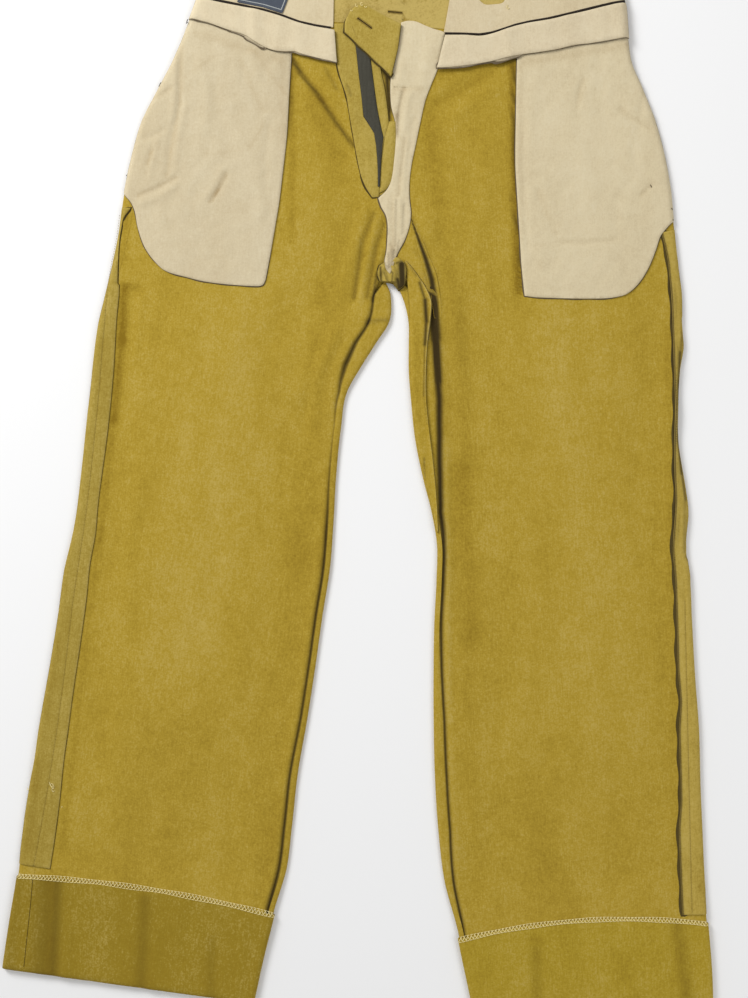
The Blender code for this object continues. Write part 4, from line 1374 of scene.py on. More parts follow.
def make_back_waist():
    """The underside of the waist from the left side to the right side."""
    seam = 1 - GAP / 2 / WAIST_DEPTH
    steps = 12
    for name, low, high, finish_name, slot, below, trim in (
            ("back_waistband", -WAISTBAND, 0, "olive_waist", "twill", False, False),
            ("back_waistband_lining", GAP, GAP + TWILL, "cream_lining", "lining", False, True),
            ("back_curtain", GAP, GAP + TWILL, "cream_lining", "lining", True, True)):
        halves = []
        for leg in LEGS.values():
            runs = np.linspace(0, leg.run_of(1) * seam, steps)
            if below:
                runs = np.linspace(leg.run_of(1) + GAP / 2, leg.run_of(1) * 0.2 + leg.run_of(2) * 0.8, steps)
            columns = [] if trim else [turn_column(leg, runs, degrees, False) for degrees in UNDER_DEGREES[:3]]
            begin = leg.size(runs, "lift") + (4.5 if trim else TURN_UNDER)
            for share in np.linspace(0, 1, 36):
                columns.append(flat_column(leg, runs, begin + (leg.width(runs) - begin) * share))
            halves.append(columns)
        columns = halves[0] + halves[1][:-1][::-1]
        points, out, _ = joined(columns)
        made = grid_shell(name + "_cloth", points, out, low, high, faces_down=True)
        dress(made, finish_name, slot, name)


def flat_column(leg, runs, distance):
    x, y = leg.place(runs, distance)
    out = np.zeros((len(runs), 3))
    out[:, 2] = -1
    return np.stack((x, y, leg.size(runs, "lift")), -1), out, np.ones(len(runs))


LEFT_CURTAIN_WAVES = named(Fold, (
    (206, 4, 210, 26, 5, 0.5), (222, 8, 226, 30, 4, -0.3), (236, 10, 241, 36, 5, 0.4),
    (254, 14, 255, 44, 5, 1.3), (266, 16, 268, 50, 4, -0.3), (280, 20, 278, 54, 5, 0.5),
    (300, 28, 300, 56, 7, 0.5), (316, 30, 316, 60, 5, -0.3), (328, 34, 328, 62, 4, 0.4),
))
RIGHT_CURTAIN_WAVES = named(Fold, (
    (452, 42, 453, 70, 4, 0.3), (466, 42, 468, 68, 6, 0.5), (486, 40, 490, 64, 6, -0.3),
    (507, 34, 510, 60, 6, 1.1), (522, 28, 526, 56, 4, -0.3), (544, 24, 548, 54, 7, 0.4),
    (566, 18, 570, 50, 6, 0.6), (584, 14, 586, 46, 5, -0.3), (600, 12, 604, 44, 6, 0.4),
    (616, 8, 620, 40, 5, 0.6),
))
LEFT_CURTAIN_EDGES = named(Mark, (
    (188, 18, 200, 22, 3, 1.0), (200, 22, 228, 31, 5, 0.8), (232, 32, 246, 38, 5, 1.6),
    (248, 39, 262, 47, 4.6, 3.0), (264, 48, 290, 53, 5, 0.5), (292, 53, 302, 56, 4, 1.2),
    (302, 56, 337, 64, 4, 1.0),
))
RIGHT_CURTAIN_EDGES = named(Mark, (
    (438, 69, 492, 62, 5, 1.5), (496, 61, 516, 57.6, 5, 3.2), (524, 56, 570, 48, 5, 0.4),
    (570, 47, 634, 37, 5, 0.6),
))


LEFT_CURTAIN_HEM = [(183, 17.5), (191, 19.5), (197, 21), (211, 25), (231, 32), (246, 37), (255, 43),
                    (263, 47.5), (275, 52), (286, 53), (294.5, 52.8), (300, 55), (318, 59.5), (336.6, 63.8)]
RIGHT_CURTAIN_HEM = [
    (437.2, 69), (448, 68.6), (459, 67.6), (475, 65.4), (491, 62.5), (503, 59.6), (514, 57.3),
    (524, 55.4), (535.7, 54), (554.8, 51), (574, 46.6), (590.5, 44.6), (612, 41), (632, 37.3),
]


def make_curtains():
    low = GAP + BAG + BAG_PUFF + 0.7 + GAP
    for side, hem, edges, waves in (
            ("left", LEFT_CURTAIN_HEM, LEFT_CURTAIN_EDGES, LEFT_CURTAIN_WAVES),
            ("right", RIGHT_CURTAIN_HEM, RIGHT_CURTAIN_EDGES, RIGHT_CURTAIN_WAVES)):
        line = [(x, y + CURTAIN_START + CURTAIN_DROP * min(max((abs(x - 400) - 90) / 30, 0), 1))
                for x, y in PIPING_LINES[side] if 183 < x < 628]
        made = laid_shell("curtain_" + side + "_cloth", LEGS[side], closed_outline(hem, top_edge(hem, line)),
                          low, low + COTTON, edges, lift_edge=0.5, folds=waves, tones_and_painted_light=CREAM_PAINTED_SHADE)
        dress(made, "cream_curtain", "lining", "curtain_" + side)


def top_edge(hem, line):
    """The line's points in the order that closes an outline after the hem."""
    return sorted(line, reverse=hem[0][0] < hem[-1][0])


BAG_EDGES = named(Mark, (
    (131.6, 203, 145, 247, 5, 0.6), (145, 247, 186, 277, 6, 0.9), (186, 277, 262, 286, 6, 0.8),
    (264, 282, 270, 254, 5, 0.5), (289, 84, 291, 56, 5, 0.5), (288, 110, 280, 200, 6, 0.12),
    (515.5, 60, 517, 191, 5, 0.7), (517, 191, 525, 296, 5, 1.0), (525, 297, 602, 298.5, 5, 0.9),
    (602, 298.5, 638, 283, 5, 0.8), (638, 283, 663, 231, 5, 0.8), (663, 231, 672, 222, 3, 0.5),
    (124, 190, 131, 203, 3, 0.4),
))


def waist_line(leg, first, last):
    """The waist seam between two places across."""
    run = np.full(12, leg.run_of(1) + 0.6)
    line = leg.outline(run)
    share = (np.linspace(first, last, 12) - line[:, 0]) / (line[:, 2] - line[:, 0])
    x, y = leg.place(run, share * leg.width(run))
    return list(zip(x, y))


def make_pocket_bags():
    left = closed_outline(
        [(122.9, 190), (126, 196), (131.6, 203), (135.4, 212), (138.3, 228), (145, 247), (155.5, 262),
         (166, 271), (186, 277), (207, 282), (234, 285), (255, 286.2), (262.5, 285.2), (265.4, 280)],
        [(270.3, 254), (275.1, 226), (278.9, 203), (282.7, 172), (286.5, 138), (288.4, 107), (289.4, 86),
         (291.2, 57), (292, 24)],
        waist_line(LEFT, 197, 292)[::-1],
        [(191, 18), (186, 29), (179.4, 46), (169.8, 65), (157.4, 88), (145.9, 113), (138.3, 130),
         (130.6, 159), (124.9, 182)])
    made = laid_shell("pocket_bag_left_cloth", LEFT, left, GAP, GAP + BAG, BAG_EDGES, folds=BAG_CREASES,
                      tones_and_painted_light=CREAM_PAINTED_SHADE, lift_edge=0.25, more=crumple, puff=BAG_PUFF, spacing=2.4)
    dress(made, "cream_left", "pocketing", "pocket_bag_left")
    right = closed_outline(
        waist_line(RIGHT, 516, 626)[::-1],
        [(517, 57), (516, 115), (515.5, 163), (517, 191), (520, 239), (521.8, 268), (524.7, 296)],
        [(535, 297.4), (564, 298.5), (602, 298.5), (616, 297), (627, 293.6), (638.5, 283), (648, 268),
         (655, 251), (659.6, 237), (663.4, 231.5), (669, 225), (673.4, 221)],
        [(672, 203), (668.2, 172), (661.5, 142), (652.9, 113), (642.4, 86), (632.8, 63), (629.9, 37)])
    made = laid_shell("pocket_bag_right_cloth", RIGHT, right, GAP, GAP + BAG, BAG_EDGES, folds=BAG_CREASES,
                      tones_and_painted_light=CREAM_PAINTED_SHADE, lift_edge=0.35, more=crumple, puff=BAG_PUFF, spacing=2.4)
    dress(made, "cream", "pocketing", "pocket_bag_right")


def crumple(x, y):
    """The many slight dents of thin cotton that has been washed."""
    dents = np.sin(x * 0.23 + 2.1 * np.sin(y * 0.11)) * np.sin(y * 0.19 + 1.8 * np.sin(x * 0.09 + 0.7))
    streaks = np.sin((x + y * 0.35) * 0.31 + 1.6 * np.sin(y * 0.07)) * np.sin(y * 0.05 + 1.0)
    return 0.11 * dents + 0.09 * streaks


SHIELD_CREASES = named(Fold, (
    (404, 90, 398, 116, 2.4, -0.6, 1), (397.5, 116, 396.6, 136, 2.2, -0.7),
    (410, 96, 404, 130, 3, 0.6, 1), (404, 138, 399, 196, 2, -0.6, 1), (408, 140, 404, 190, 2, 0.5, 1),
    (392, 196, 394, 252, 2, -0.5, 1), (400, 200, 401, 244, 2, 0.6, -1), (386, 208, 390, 256, 2, 0.5, 1),
    (405, 206, 402, 236, 1.8, -0.4, 1), (394, 88, 421, 89, 1.2, -0.5), (390, 250, 388, 268, 1.6, 0.8),
    (394, 250, 391, 268, 1.4, -0.6), (396, 40, 402, 80, 6, 0.5), (420, 40, 414, 80, 6, -0.3),
    (412, 92, 424, 86, 4, 0.4), (402, 66, 398, 84, 4, 0.4), (430, 50, 424, 78, 5, 0.4),
    (414, 120, 410, 150, 3, -0.4, 1), (396, 150, 394, 178, 2.4, 0.4),
))
# Painted shade in the shield's creases
SHIELD_DARKS = named(Stretch, (
    (402, 92, 397.6, 114, 1.3, 0.28), (397.6, 114, 396.8, 134, 1.5, 0.4), (405, 138, 400, 176, 1.2, 0.2),
    (396, 200, 395, 246, 1.1, 0.25), (404, 204, 402, 234, 1.0, 0.2), (394, 250, 391.6, 268, 1.2, 0.5),
    (388.5, 254, 388.4, 268, 1.0, 0.45), (398, 248, 394, 262, 1.2, 0.35), (384.6, 264, 387, 270, 1.6, 0.4),
    (399, 240, 396.4, 254, 0.9, 0.3),
))
FLY_EDGES = named(Mark, (
    (336, 40, 337.5, 66, 4, 0.5), (337.5, 66, 347, 97, 4, 1.2), (348, 100, 362, 178, 5, 0.7),
    (362, 178, 372, 197, 5, 1.5), (381, 72, 387, 108, 3, 0.5), (387, 108, 389, 124, 3, 0.6),
))
SHIELD_EDGES = named(Mark, (
    (391, 78, 391, 107, 3, 0.5), (391, 107, 396, 134, 4, 0.3), (380, 199, 388, 216, 4, 1.2),
    (388, 216, 386.5, 264, 4, 0.9), (409, 188, 411, 216, 5, 0.6), (410, 218, 404, 240, 4, 0.5),
    (404, 240, 393, 266, 4, 0.7), (390, 182, 380, 197, 3, 0.3), (438, 62, 437, 68, 3, 0.2),
))
TAB_EDGES = named(Mark, (
    (345, 33.5, 391, 77, 3, 1.7), (345, 33, 346, 24, 3, 0.8), (346, 24, 358, 7, 3, 0.3, 0.5),
    (366, 7, 400, 26, 3, 0.05, 0.3), (400, 30, 391, 76, 2.5, 0.35),
))


TAB_LEVEL = GAP + 2 * (COTTON + GAP) + GAP
TAPE_EDGES = named(Mark, ((370, 62, 383, 136, 3, 0.25), (358, 66, 364, 117, 3, 0.2)))
EXTENSION_EDGES = named(Mark, ((389, 124, 381, 168, 2.5, 0.35), (381, 168, 380, 192, 2.5, 0.5)))
TAB_CREASES = named(Fold, (
    (372, 18, 394, 40, 5, 0.4), (352, 26, 380, 52, 4, -0.25), (362, 24, 368, 28, 3, -0.3),
    (386, 50, 391, 70, 4, 0.4),
))
FACING_CREASES = named(Fold, (
    (347, 84, 352, 98, 2.4, -0.6, 1), (352, 96, 358, 130, 3, 0.3, 1), (343, 40, 346, 74, 4, 0.3),
    (362, 132, 372, 150, 3, 0.4), (357, 156, 364, 160, 2, -0.3), (368, 150, 372, 190, 2.6, 0.3),
))
# Painted shade in the facing's creases and along its right edge
FACING_DARKS = named(Stretch, (
    (347, 86, 351, 96, 1.4, 0.35), (380, 60, 386.4, 108, 0.8, 0.25), (338, 40, 343, 74, 3, 0.06),
))


def make_fly():
    facing = closed_outline(
        [(334.4, 24.6), (336, 50), (337.4, 64), (340, 76), (343.6, 87), (346.6, 96), (348.6, 108), (351, 122),
         (353.8, 138), (357.2, 157), (361.4, 176), (366, 187), (372.4, 197.4)],
        [(378.6, 197)],
        [(379.6, 178), (381.4, 155), (384.4, 138), (388.6, 124)],
        [(387.2, 110), (384.2, 88), (380.2, 68), (380, 25)])
    made = laid_shell("fly_facing_cloth", LEFT, facing, GAP, GAP + COTTON, FLY_EDGES, darks=FACING_DARKS,
                      folds=FACING_CREASES, spacing=2.2)
    dress(made, "olive_pale", "twill", "fly_facing")
    low = GAP + COTTON + GAP
    tape = closed_outline(
        [(352.4, 30), (355.6, 45), (358.6, 70), (361.6, 94), (364, 117)], [(368.4, 124), (374.4, 133.6)],
        [(376.4, 146), (377.8, 164), (378.3, 187)],
        [(379.4, 187), (380.6, 164), (382.2, 146), (383, 138)],
        [(380.9, 130), (376.4, 107), (373.2, 84), (370, 60), (366, 30)])
    made = laid_shell("zip_tape_cloth", LEFT, tape, low, low + COTTON, TAPE_EDGES, spacing=2.4)
    dress(made, "tape", "zip_tape", "zip_tape")
    extension = closed_outline(
        [(395.3, 122), (389.6, 122)],
        [(385.4, 136), (382, 156), (380.6, 178), (379.6, 193)],
        [(386.2, 189.5), (390.8, 181), (394, 160), (395.5, 140)])
    made = laid_shell("fly_extension_cloth", RIGHT, extension, GAP, GAP + COTTON, EXTENSION_EDGES)
    dress(made, "olive_pale", "twill", "fly_extension")
    shield = closed_outline(
        [(391.4, 76), (390.6, 88), (391.6, 107), (395.3, 122), (396, 138), (394.6, 158), (391.6, 180),
         (386.8, 190.4), (378.6, 198.4)],
        [(381.5, 207), (386.6, 217), (388, 230), (386.8, 250), (385, 264), (386.4, 270), (389.8, 274.4)],
        [(392.2, 268.6), (397, 254), (404, 241), (408.6, 228), (410.6, 214), (409.2, 200), (409, 184),
         (411.4, 164), (415.4, 145), (420.2, 122), (425, 101), (431, 85), (437.4, 69), (441.4, 51),
         (444.8, 33.4)],
        [(440, 31.6), (433, 29.6), (424, 26), (416, 22.6), (408, 21.8), (401.4, 23.4)])

    def end_rise(x, y):
        return 3.6 * np.clip((y - 255) / 9, 0, 1)

    made = laid_shell("fly_shield_cloth", RIGHT, shield, GAP, GAP + COTTON, SHIELD_EDGES, more=end_rise,
                      folds=SHIELD_CREASES, tones_and_painted_light=CREAM_PAINTED_SHADE, darks=SHIELD_DARKS, puff=BAG_PUFF,
                      spacing=1.7)
    dress(made, "cream", "pocketing", "fly_shield")
    tab = closed_outline(
        [(345, 33.5), (345.4, 24), (350, 14), (356, 8.4), (364, 7), (372, 11), (384, 17.6), (400.6, 26)],
        [(397.6, 50), (391, 77)])
    made = laid_shell("fly_tab_cloth", LEFT, tab, TAB_LEVEL, TAB_LEVEL + TWILL, TAB_EDGES, lift_edge=0.4,
                      folds=TAB_CREASES, spacing=2.4)
    dress(made, "olive_pale", "twill", "fly_tab")


LEFT_STRIP_INNER = [(130.8, 208.4), (123.9, 217.6), (121.6, 228), (119.6, 240), (118, 262), (117.3, 283.4)]
LEFT_STRIP_LOWER = [
    (118.8, 285.4), (118.6, 296), (116.5, 318), (113.5, 369), (110.4, 404), (106.3, 441), (102.2, 471),
    (97.8, 505), (95.4, 533), (89.6, 566), (86.2, 600), (79.6, 648), (73.8, 687), (68, 730), (63.8, 760),
    (59.3, 803), (55.5, 832), (50.2, 868),
]
LEFT_STRIP_OUTER = [
    (17.2, 863), (23, 826), (27.7, 794), (34.8, 760), (38.1, 735), (43.9, 696), (53, 646), (62.2, 581),
    (74.6, 526), (83.3, 457), (91.4, 380), (99.2, 320), (107.3, 286), (118.6, 235), (122.2, 208),
]
LEFT_SEAM_LINE = [
    (121, 214), (113, 262), (107, 300), (98.4, 400), (88, 500), (78, 570), (73, 603), (67.2, 653),
    (58, 724), (46, 800), (33.4, 869),
]
LEFT_STRIP_EDGES = named(Mark, (
    (131, 208, 124, 218, 2.6, 1.5), (122, 228, 117.5, 270, 4, 0.7), (117, 276, 118, 286, 3, 0.8, 0.2),
    (118.6, 290, 102, 471, 4, 0.25, 0.7), (102, 471, 68, 730, 4, 0.2, 0.7), (68, 730, 50, 868, 4, 0.3, 0.6),
))
RIGHT_STRIP_INNER = [
    (661.8, 233), (665, 246), (668, 261), (671, 292), (672.6, 322), (673.8, 363), (674.9, 400),
    (674.4, 441), (674.6, 475), (675.8, 500), (673, 548), (675.5, 580), (677.4, 634), (678.4, 672),
    (680.8, 701), (679.3, 730), (681.2, 800), (679.2, 829), (680.7, 873), (682.3, 914),
]
RIGHT_STRIP_OUTER = [
    (706.8, 914), (704, 873), (702.4, 838), (700.2, 790), (698.6, 730), (695, 682), (692.2, 634),
    (690, 590), (689.4, 562), (686.4, 557.6), (685.6, 553),
]
RIGHT_STRIP_UPPER = [
    (686.4, 540), (688.2, 515), (686.8, 496), (682, 469), (677.9, 441), (678.3, 400), (679.6, 371),
    (683.4, 346), (680.6, 326), (682.4, 311), (680.8, 286), (676, 249), (674.2, 230),
]
RIGHT_STRIP_EDGES = named(Mark, (
    (661.8, 234, 671, 292, 5, 2.2, 0.3), (671, 292, 676, 400, 5, 2.0, 0.9),
    (675.5, 400, 675.6, 500, 5, 2.2, 1.0), (675, 505, 676, 600, 5, 2.6, 0.8),
    (676, 600, 680, 730, 5, 2.7, 0.5), (680, 730, 682, 912, 5, 2.5, 0.4),
))
RAISED_EDGE = [(405.9, 261.4), (409.6, 265.6), (413.6, 270.6), (418.6, 277.6), (423.5, 285), (427.6, 293),
               (430.7, 302.4), (429.9, 318), (427.6, 337), (425.9, 360), (425.4, 393), (428, 424), (432, 456),
               (435.4, 490), (438, 531)]
RAISED_EDGES = named(Mark, (
    (406, 261, 423, 285, 3, 0.5, 0.7), (423, 285, 431, 302, 3, 1.0, 1.4),
    (430.6, 304, 427.6, 338, 3, 0.9, 1.6), (427.6, 338, 425.4, 393, 3, 0.5, 1.2),
    (425.4, 393, 438, 531, 3, 0.3, 0.5),
))
# Painted shade beside the standing edge of the right inseam's allowance
RAISED_DARKS = named(Stretch, (
    (419.5, 283, 425, 300, 1.6, 0.75), (425, 300, 426.4, 322, 2.5, 0.95), (426.2, 322, 424.8, 345, 1.9, 0.9),
    (424.6, 345, 423.6, 396, 0.9, 0.6), (423.6, 396, 427, 424, 0.8, 0.3), (408, 262, 416, 276, 1.4, 0.35),
    (424, 458, 425.4, 500, 0.9, 0.5), (416, 268, 421, 282, 1.6, 0.3),
))
RAISED_TONES = named(Stretch, (
    (417, 330, 417, 420, 4, 0.3), (412, 300, 411, 380, 3, -0.2), (430, 440, 433, 480, 3, -0.3),
    (428, 500, 434, 528, 3, 0.4),
))


STRIP_TONES = named(Stretch, (
    (60, 640, 46, 720, 4, 0.4), (40, 760, 28, 850, 6, 0.5), (66, 700, 58, 780, 4, -0.2),
    (104, 340, 98, 420, 3, 0.2), (684, 860, 700, 890, 6, 0.3), (679, 600, 683, 740, 3, -0.4),
    (688, 650, 694, 760, 3, 0.2), (683, 330, 684, 350, 3, 0.5), (48, 800, 42, 860, 4, 0.3),
    (110, 300, 108, 330, 3, -0.2),
))
# Painted shade along the gap at the right side seam allowance's inner edge
RIGHT_STRIP_DARKS = named(Stretch, (
    (682.6, 326, 679.6, 352, 1.3, 0.5), (679.6, 352, 678, 380, 1.5, 0.85), (678, 380, 677.6, 441, 1.6, 0.97),
    (677.8, 441, 681.4, 474, 1.7, 0.9), (681.6, 474, 685, 500, 1.5, 0.7), (684, 500, 684, 552, 1.8, 0.3),
    (686, 556, 688.6, 560, 1.6, 0.6),
    (684.4, 600, 691.6, 912, 0.7, 0.12),
))


def stretched_along(line, half_width, amount):
    """Stretches of one width and amount all along a line."""
    return [Stretch(*(a + b + (half_width, amount))) for a, b in zip(line, line[1:])]


def strip_seam(line, depth):
    """The groove where a pressed-open seam is sewn, and the swell on both sides of it."""
    def height(x, y):
        middle = across_at(line, y)
        return depth * (0.4 * bell(x - middle, 6) - bell(x - middle, 1.3))

    return height


def make_seam_allowances():
    outline = closed_outline(LEFT_STRIP_INNER, LEFT_STRIP_LOWER, LEFT_STRIP_OUTER)
    seam_darks = stretched_along(LEFT_SEAM_LINE, 0.7, 0.12)
    made = laid_shell("side_seam_left_cloth", LEFT, outline, GAP, GAP + TWILL, LEFT_STRIP_EDGES,
                      more=strip_seam(LEFT_SEAM_LINE, 0.55), darks=seam_darks, tones_and_painted_light=STRIP_TONES, spacing=2.2)
    dress(made, "olive_strip_left", "twill", "side_seam_left")
    outline = closed_outline(RIGHT_STRIP_INNER, RIGHT_STRIP_OUTER, RIGHT_STRIP_UPPER)
    groove = strip_seam(((683, 540), (692, 915)), 0.5)

    def right_form(x, y):
        upper = bell(np.maximum(y - 520, 0), 40) * np.clip((y - 240) / 60, 0, 1)
        wave = 1 + 0.5 * np.sin(y * 0.11)
        ridge = upper * 1.7 * wave * bell(x - across_at(RIGHT_STRIP_INNER, y) - 1.6, 2.0)
        return ridge + groove(x, y) * np.clip((y - 540) / 60, 0, 1)

    # Painted shade: a near-black line all along the allowance's inner edge
    edge_darks = stretched_along(RIGHT_STRIP_INNER, 1.0, 0.95)
    made = laid_shell("side_seam_right_cloth", RIGHT, outline, GAP, GAP + TWILL, RIGHT_STRIP_EDGES,
                      more=right_form, darks=edge_darks + RIGHT_STRIP_DARKS, tones_and_painted_light=STRIP_TONES, spacing=1.4)
    dress(made, "olive_strip_right", "twill", "side_seam_right")
    outline = closed_outline(
        [(405.4, 262), (407.4, 280), (409.8, 306), (410.6, 340), (411.2, 372), (413, 400), (417.4, 440),
         (424, 472), (431.4, 503), (437.4, 532)], RAISED_EDGE[::-1])

    def stand(x, y):
        return 1.5 * bell(x - across_at(RAISED_EDGE, y), 1.9)

    made = laid_shell("inseam_right_cloth", RIGHT, outline, GAP, GAP + TWILL, RAISED_EDGES, more=stand,
                      darks=RAISED_DARKS, tones_and_painted_light=RAISED_TONES, spacing=1.4)
    dress(made, "olive_right", "twill", "inseam_right")


GATHER_LEVEL = 2 * GAP + COTTON + 0.6
GATHER_EDGES = named(Mark, (
    (379.4, 266, 378.6, 276, 3, 1.3), (379, 278, 391, 290, 4, 0.9), (391, 291, 404, 286, 4, 0.7),
    (405, 284, 406, 266, 3, 0.4), (384, 263, 392, 262, 2, 0.4),
))
# Painted shade in the gather's pleats, under its edge, and in the hole at its right
GATHER_DARKS = named(Stretch, (
    (380.4, 268, 381, 281, 1.2, 0.85), (381, 281, 386, 287.6, 1.2, 0.8), (387.4, 268, 392.6, 274, 0.9, 0.75),
    (392.6, 274, 391.4, 288, 0.9, 0.6), (401.6, 265, 402.2, 288, 3.4, 1.3), (397.6, 280, 400, 289, 2.6, 0.95),
    (386, 288, 398, 290, 1.4, 0.6), (384, 273, 388, 284, 0.8, 0.55),
    (385.6, 270, 388, 282, 0.9, 0.35), (396.4, 264, 400.6, 262, 1.2, 0.7), (397, 272, 397, 284, 0.9, 0.4),
    (384, 264.6, 391, 264.4, 0.9, 0.5),
))


def make_crotch_gather():
    """The bunch of cloth where the four leg seams meet: pleats that spread from the lining's end."""
    outline = closed_outline(
        [(379.4, 266.6), (378.2, 272), (379.4, 280), (384, 287), (391, 290.6), (398, 290), (403.6, 285.6),
         (405.4, 278), (405.8, 270), (404.6, 264)],
        [(400, 259.4), (396, 258), (392, 262.6), (388, 262.2), (384, 263.4)])

    def pleats(x, y):
        turn = np.arctan2(x - 389.5, y - 256)
        reach = np.hypot(x - 389.5, y - 256)
        waves = np.sin(turn * 8.5 + 0.9 * np.sin(reach * 0.3) + 0.4) + 0.5 * np.sin(turn * 17 + reach * 0.2)
        round_off = np.exp(-(((x - 391.5) / 13) ** 2 + ((y - 275) / 15) ** 2))
        return 1.1 * round_off + 0.6 * waves * np.clip((reach - 5) / 8, 0, 1) * np.clip((292 - y) / 8, 0.2, 1)

    made = laid_shell("crotch_gather", RIGHT, outline, 2 * GAP + COTTON, GATHER_LEVEL + TWILL, GATHER_EDGES,
                      more=pleats, darks=GATHER_DARKS, spacing=1.0)
    dress(made, "olive_pale", "twill", "crotch_fold")


def make_label():
    leg = LEFT
    low = WAISTBAND_ABOVE + GAP + COTTON + GAP + 0.3
    first, last = waist_reach(leg, 236), waist_reach(leg, 285)
    distances = np.linspace(first, last, 24)
    end = piping_share("left", distances) - 2.4 / WAIST_DEPTH
    shares = 0.24 + (end - 0.24) * np.linspace(0, 1, 12)[:, None]
    points, out = waist_skin(leg, shares, distances)
    made = grid_shell("label_cloth", points, out, low, low + 0.6)
    dress(made, "label", "label", "label")
    across = np.concatenate((np.full(20, 0.045), np.linspace(0.045, 0.955, 40), np.full(20, 0.955)))
    depth = np.concatenate((np.linspace(0.08, 0.9, 20), np.full(40, 0.9), np.linspace(0.9, 0.08, 20)))
    distance = first + (last - first) * across
    share = 0.24 + (np.interp(distance, distances, end) - 0.24) * depth
    border, up = leg.skin(leg.run_of(1) * share, distance, inner=False)
    dress(threads("label_border", [border + up * (low + 0.62)], 0.4), "border", "label")


def on_skin(leg, x, y, height, **options):
    """Points a height above the leg's top skin."""
    run, distance = leg.find(np.asarray(x, float), np.asarray(y, float))
    points, out = leg.skin(run, distance, **options)
    return points + out * np.reshape(height, (-1, 1))


def dashes(line, pitch, length):
    """Short stretches along a smooth line, for stitches."""
    line = np.array(smooth_line(line, 0.5))
    along = np.concatenate(([0], np.cumsum(np.hypot(*np.diff(line, axis=0).T))))
    found = []
    for start in np.arange(0.5, along[-1] - length, pitch):
        spots = np.linspace(start, start + length, 4)
        found.append(np.stack((np.interp(spots, along, line[:, 0]), np.interp(spots, along, line[:, 1])), -1))
    return found


def sewn(leg, line, height, pitch=2.6, length=1.9, arch=0.22, **options):
    """A row of stitches on a piece that lies a height above the leg's skin."""
    rise = arch * np.sin(np.linspace(0.15, math.pi - 0.15, 4))
    return [on_skin(leg, dash[:, 0], dash[:, 1], height + rise, **options)
            for dash in dashes(line, pitch, length)]


STITCH_PITCH = 3.5
STITCH_RISE = {"left": 3.0, "right": 1.4}


def make_hem_stitches():
    """The pale cover stitch over the top edge of each turn-up: two rows and what crosses them."""
    for side, leg in LEGS.items():
        start_run = leg.run_of(HEM_ROW)
        width = float(leg.width(np.array([start_run]))[0])
        rise = STITCH_RISE[side] * math.sin(0.3)

        def on_edge(offset, spots, height):
            bow = STITCH_RISE[side] * np.sin(math.pi * (0.12 + 0.8 * spots / width)) + rise
            run = start_run + offset - bow
            points, out = leg.skin(run, spots, more=2 * PLY_STEP, lift=0.0, folds=HEM_CREASES)
            drop = 1.3 * np.clip((start_run - run) / 0.8, 0, 1)
            return points + out * (height - drop)[:, None]

        lines = []
        for number, start in enumerate(np.arange(1.5, width - 2.5, STITCH_PITCH)):
            spots = np.linspace(start, start + STITCH_PITCH * 0.78, 4)
            arch = 0.2 + 0.26 * np.sin(np.linspace(0, math.pi, 4))
            sway = 0.35 * math.sin(start * 1.7)
            lines.append(on_edge(-0.7 + sway, spots, arch))
            lines.append(on_edge(3.5 - sway, spots + STITCH_PITCH * 0.3, arch))
            for half in (0, 1):
                ends = (-0.3, 3.2) if half else (3.2, -0.3)
                spots = np.linspace(start + half * STITCH_PITCH / 2, start + (half + 1) * STITCH_PITCH / 2, 4)
                lines.append(on_edge(np.linspace(ends[0], ends[1], 4), spots, np.full(4, 0.3)))
        dress(threads("hem_stitches_" + side, lines, HEM_THREAD), "thread", "twill")


def buttonhole(name, leg, start, stop, height, thread):
    """A cut slit with purl stitches along both sides. The slit is a dark cord, painted shadow of the opening.
    """
    start, stop = np.array(start, float), np.array(stop, float)
    length = np.linalg.norm(stop - start)
    along = (stop - start) / length
    side = np.array((along[1], -along[0]))
    lines = []
    for step in np.arange(0, length, PURL_PITCH):
        for sign in (-1, 1):
            root = start + along * step + side * sign * 0.45
            tip = root + side * sign * 1.15
            spots = np.array([root, (root + tip) / 2, tip])
            lines.append(on_skin(leg, spots[:, 0], spots[:, 1], height + np.array((0.1, 0.28, 0.02))))
    dress(threads(name + "_stitches", lines, PURL_THREAD), thread, "twill")
    # A dark cord along the slit stands for the shade seen through the cut
    spots = start + (stop - start) * np.linspace(0, 1, 12)[:, None]
    slit = [on_skin(leg, spots[:, 0], spots[:, 1], height - 0.12)]
    dress(threads(name + "_slit_shadow", slit, SLIT_HALF, 6), "dark_thread_and_slit_shadow", "twill")


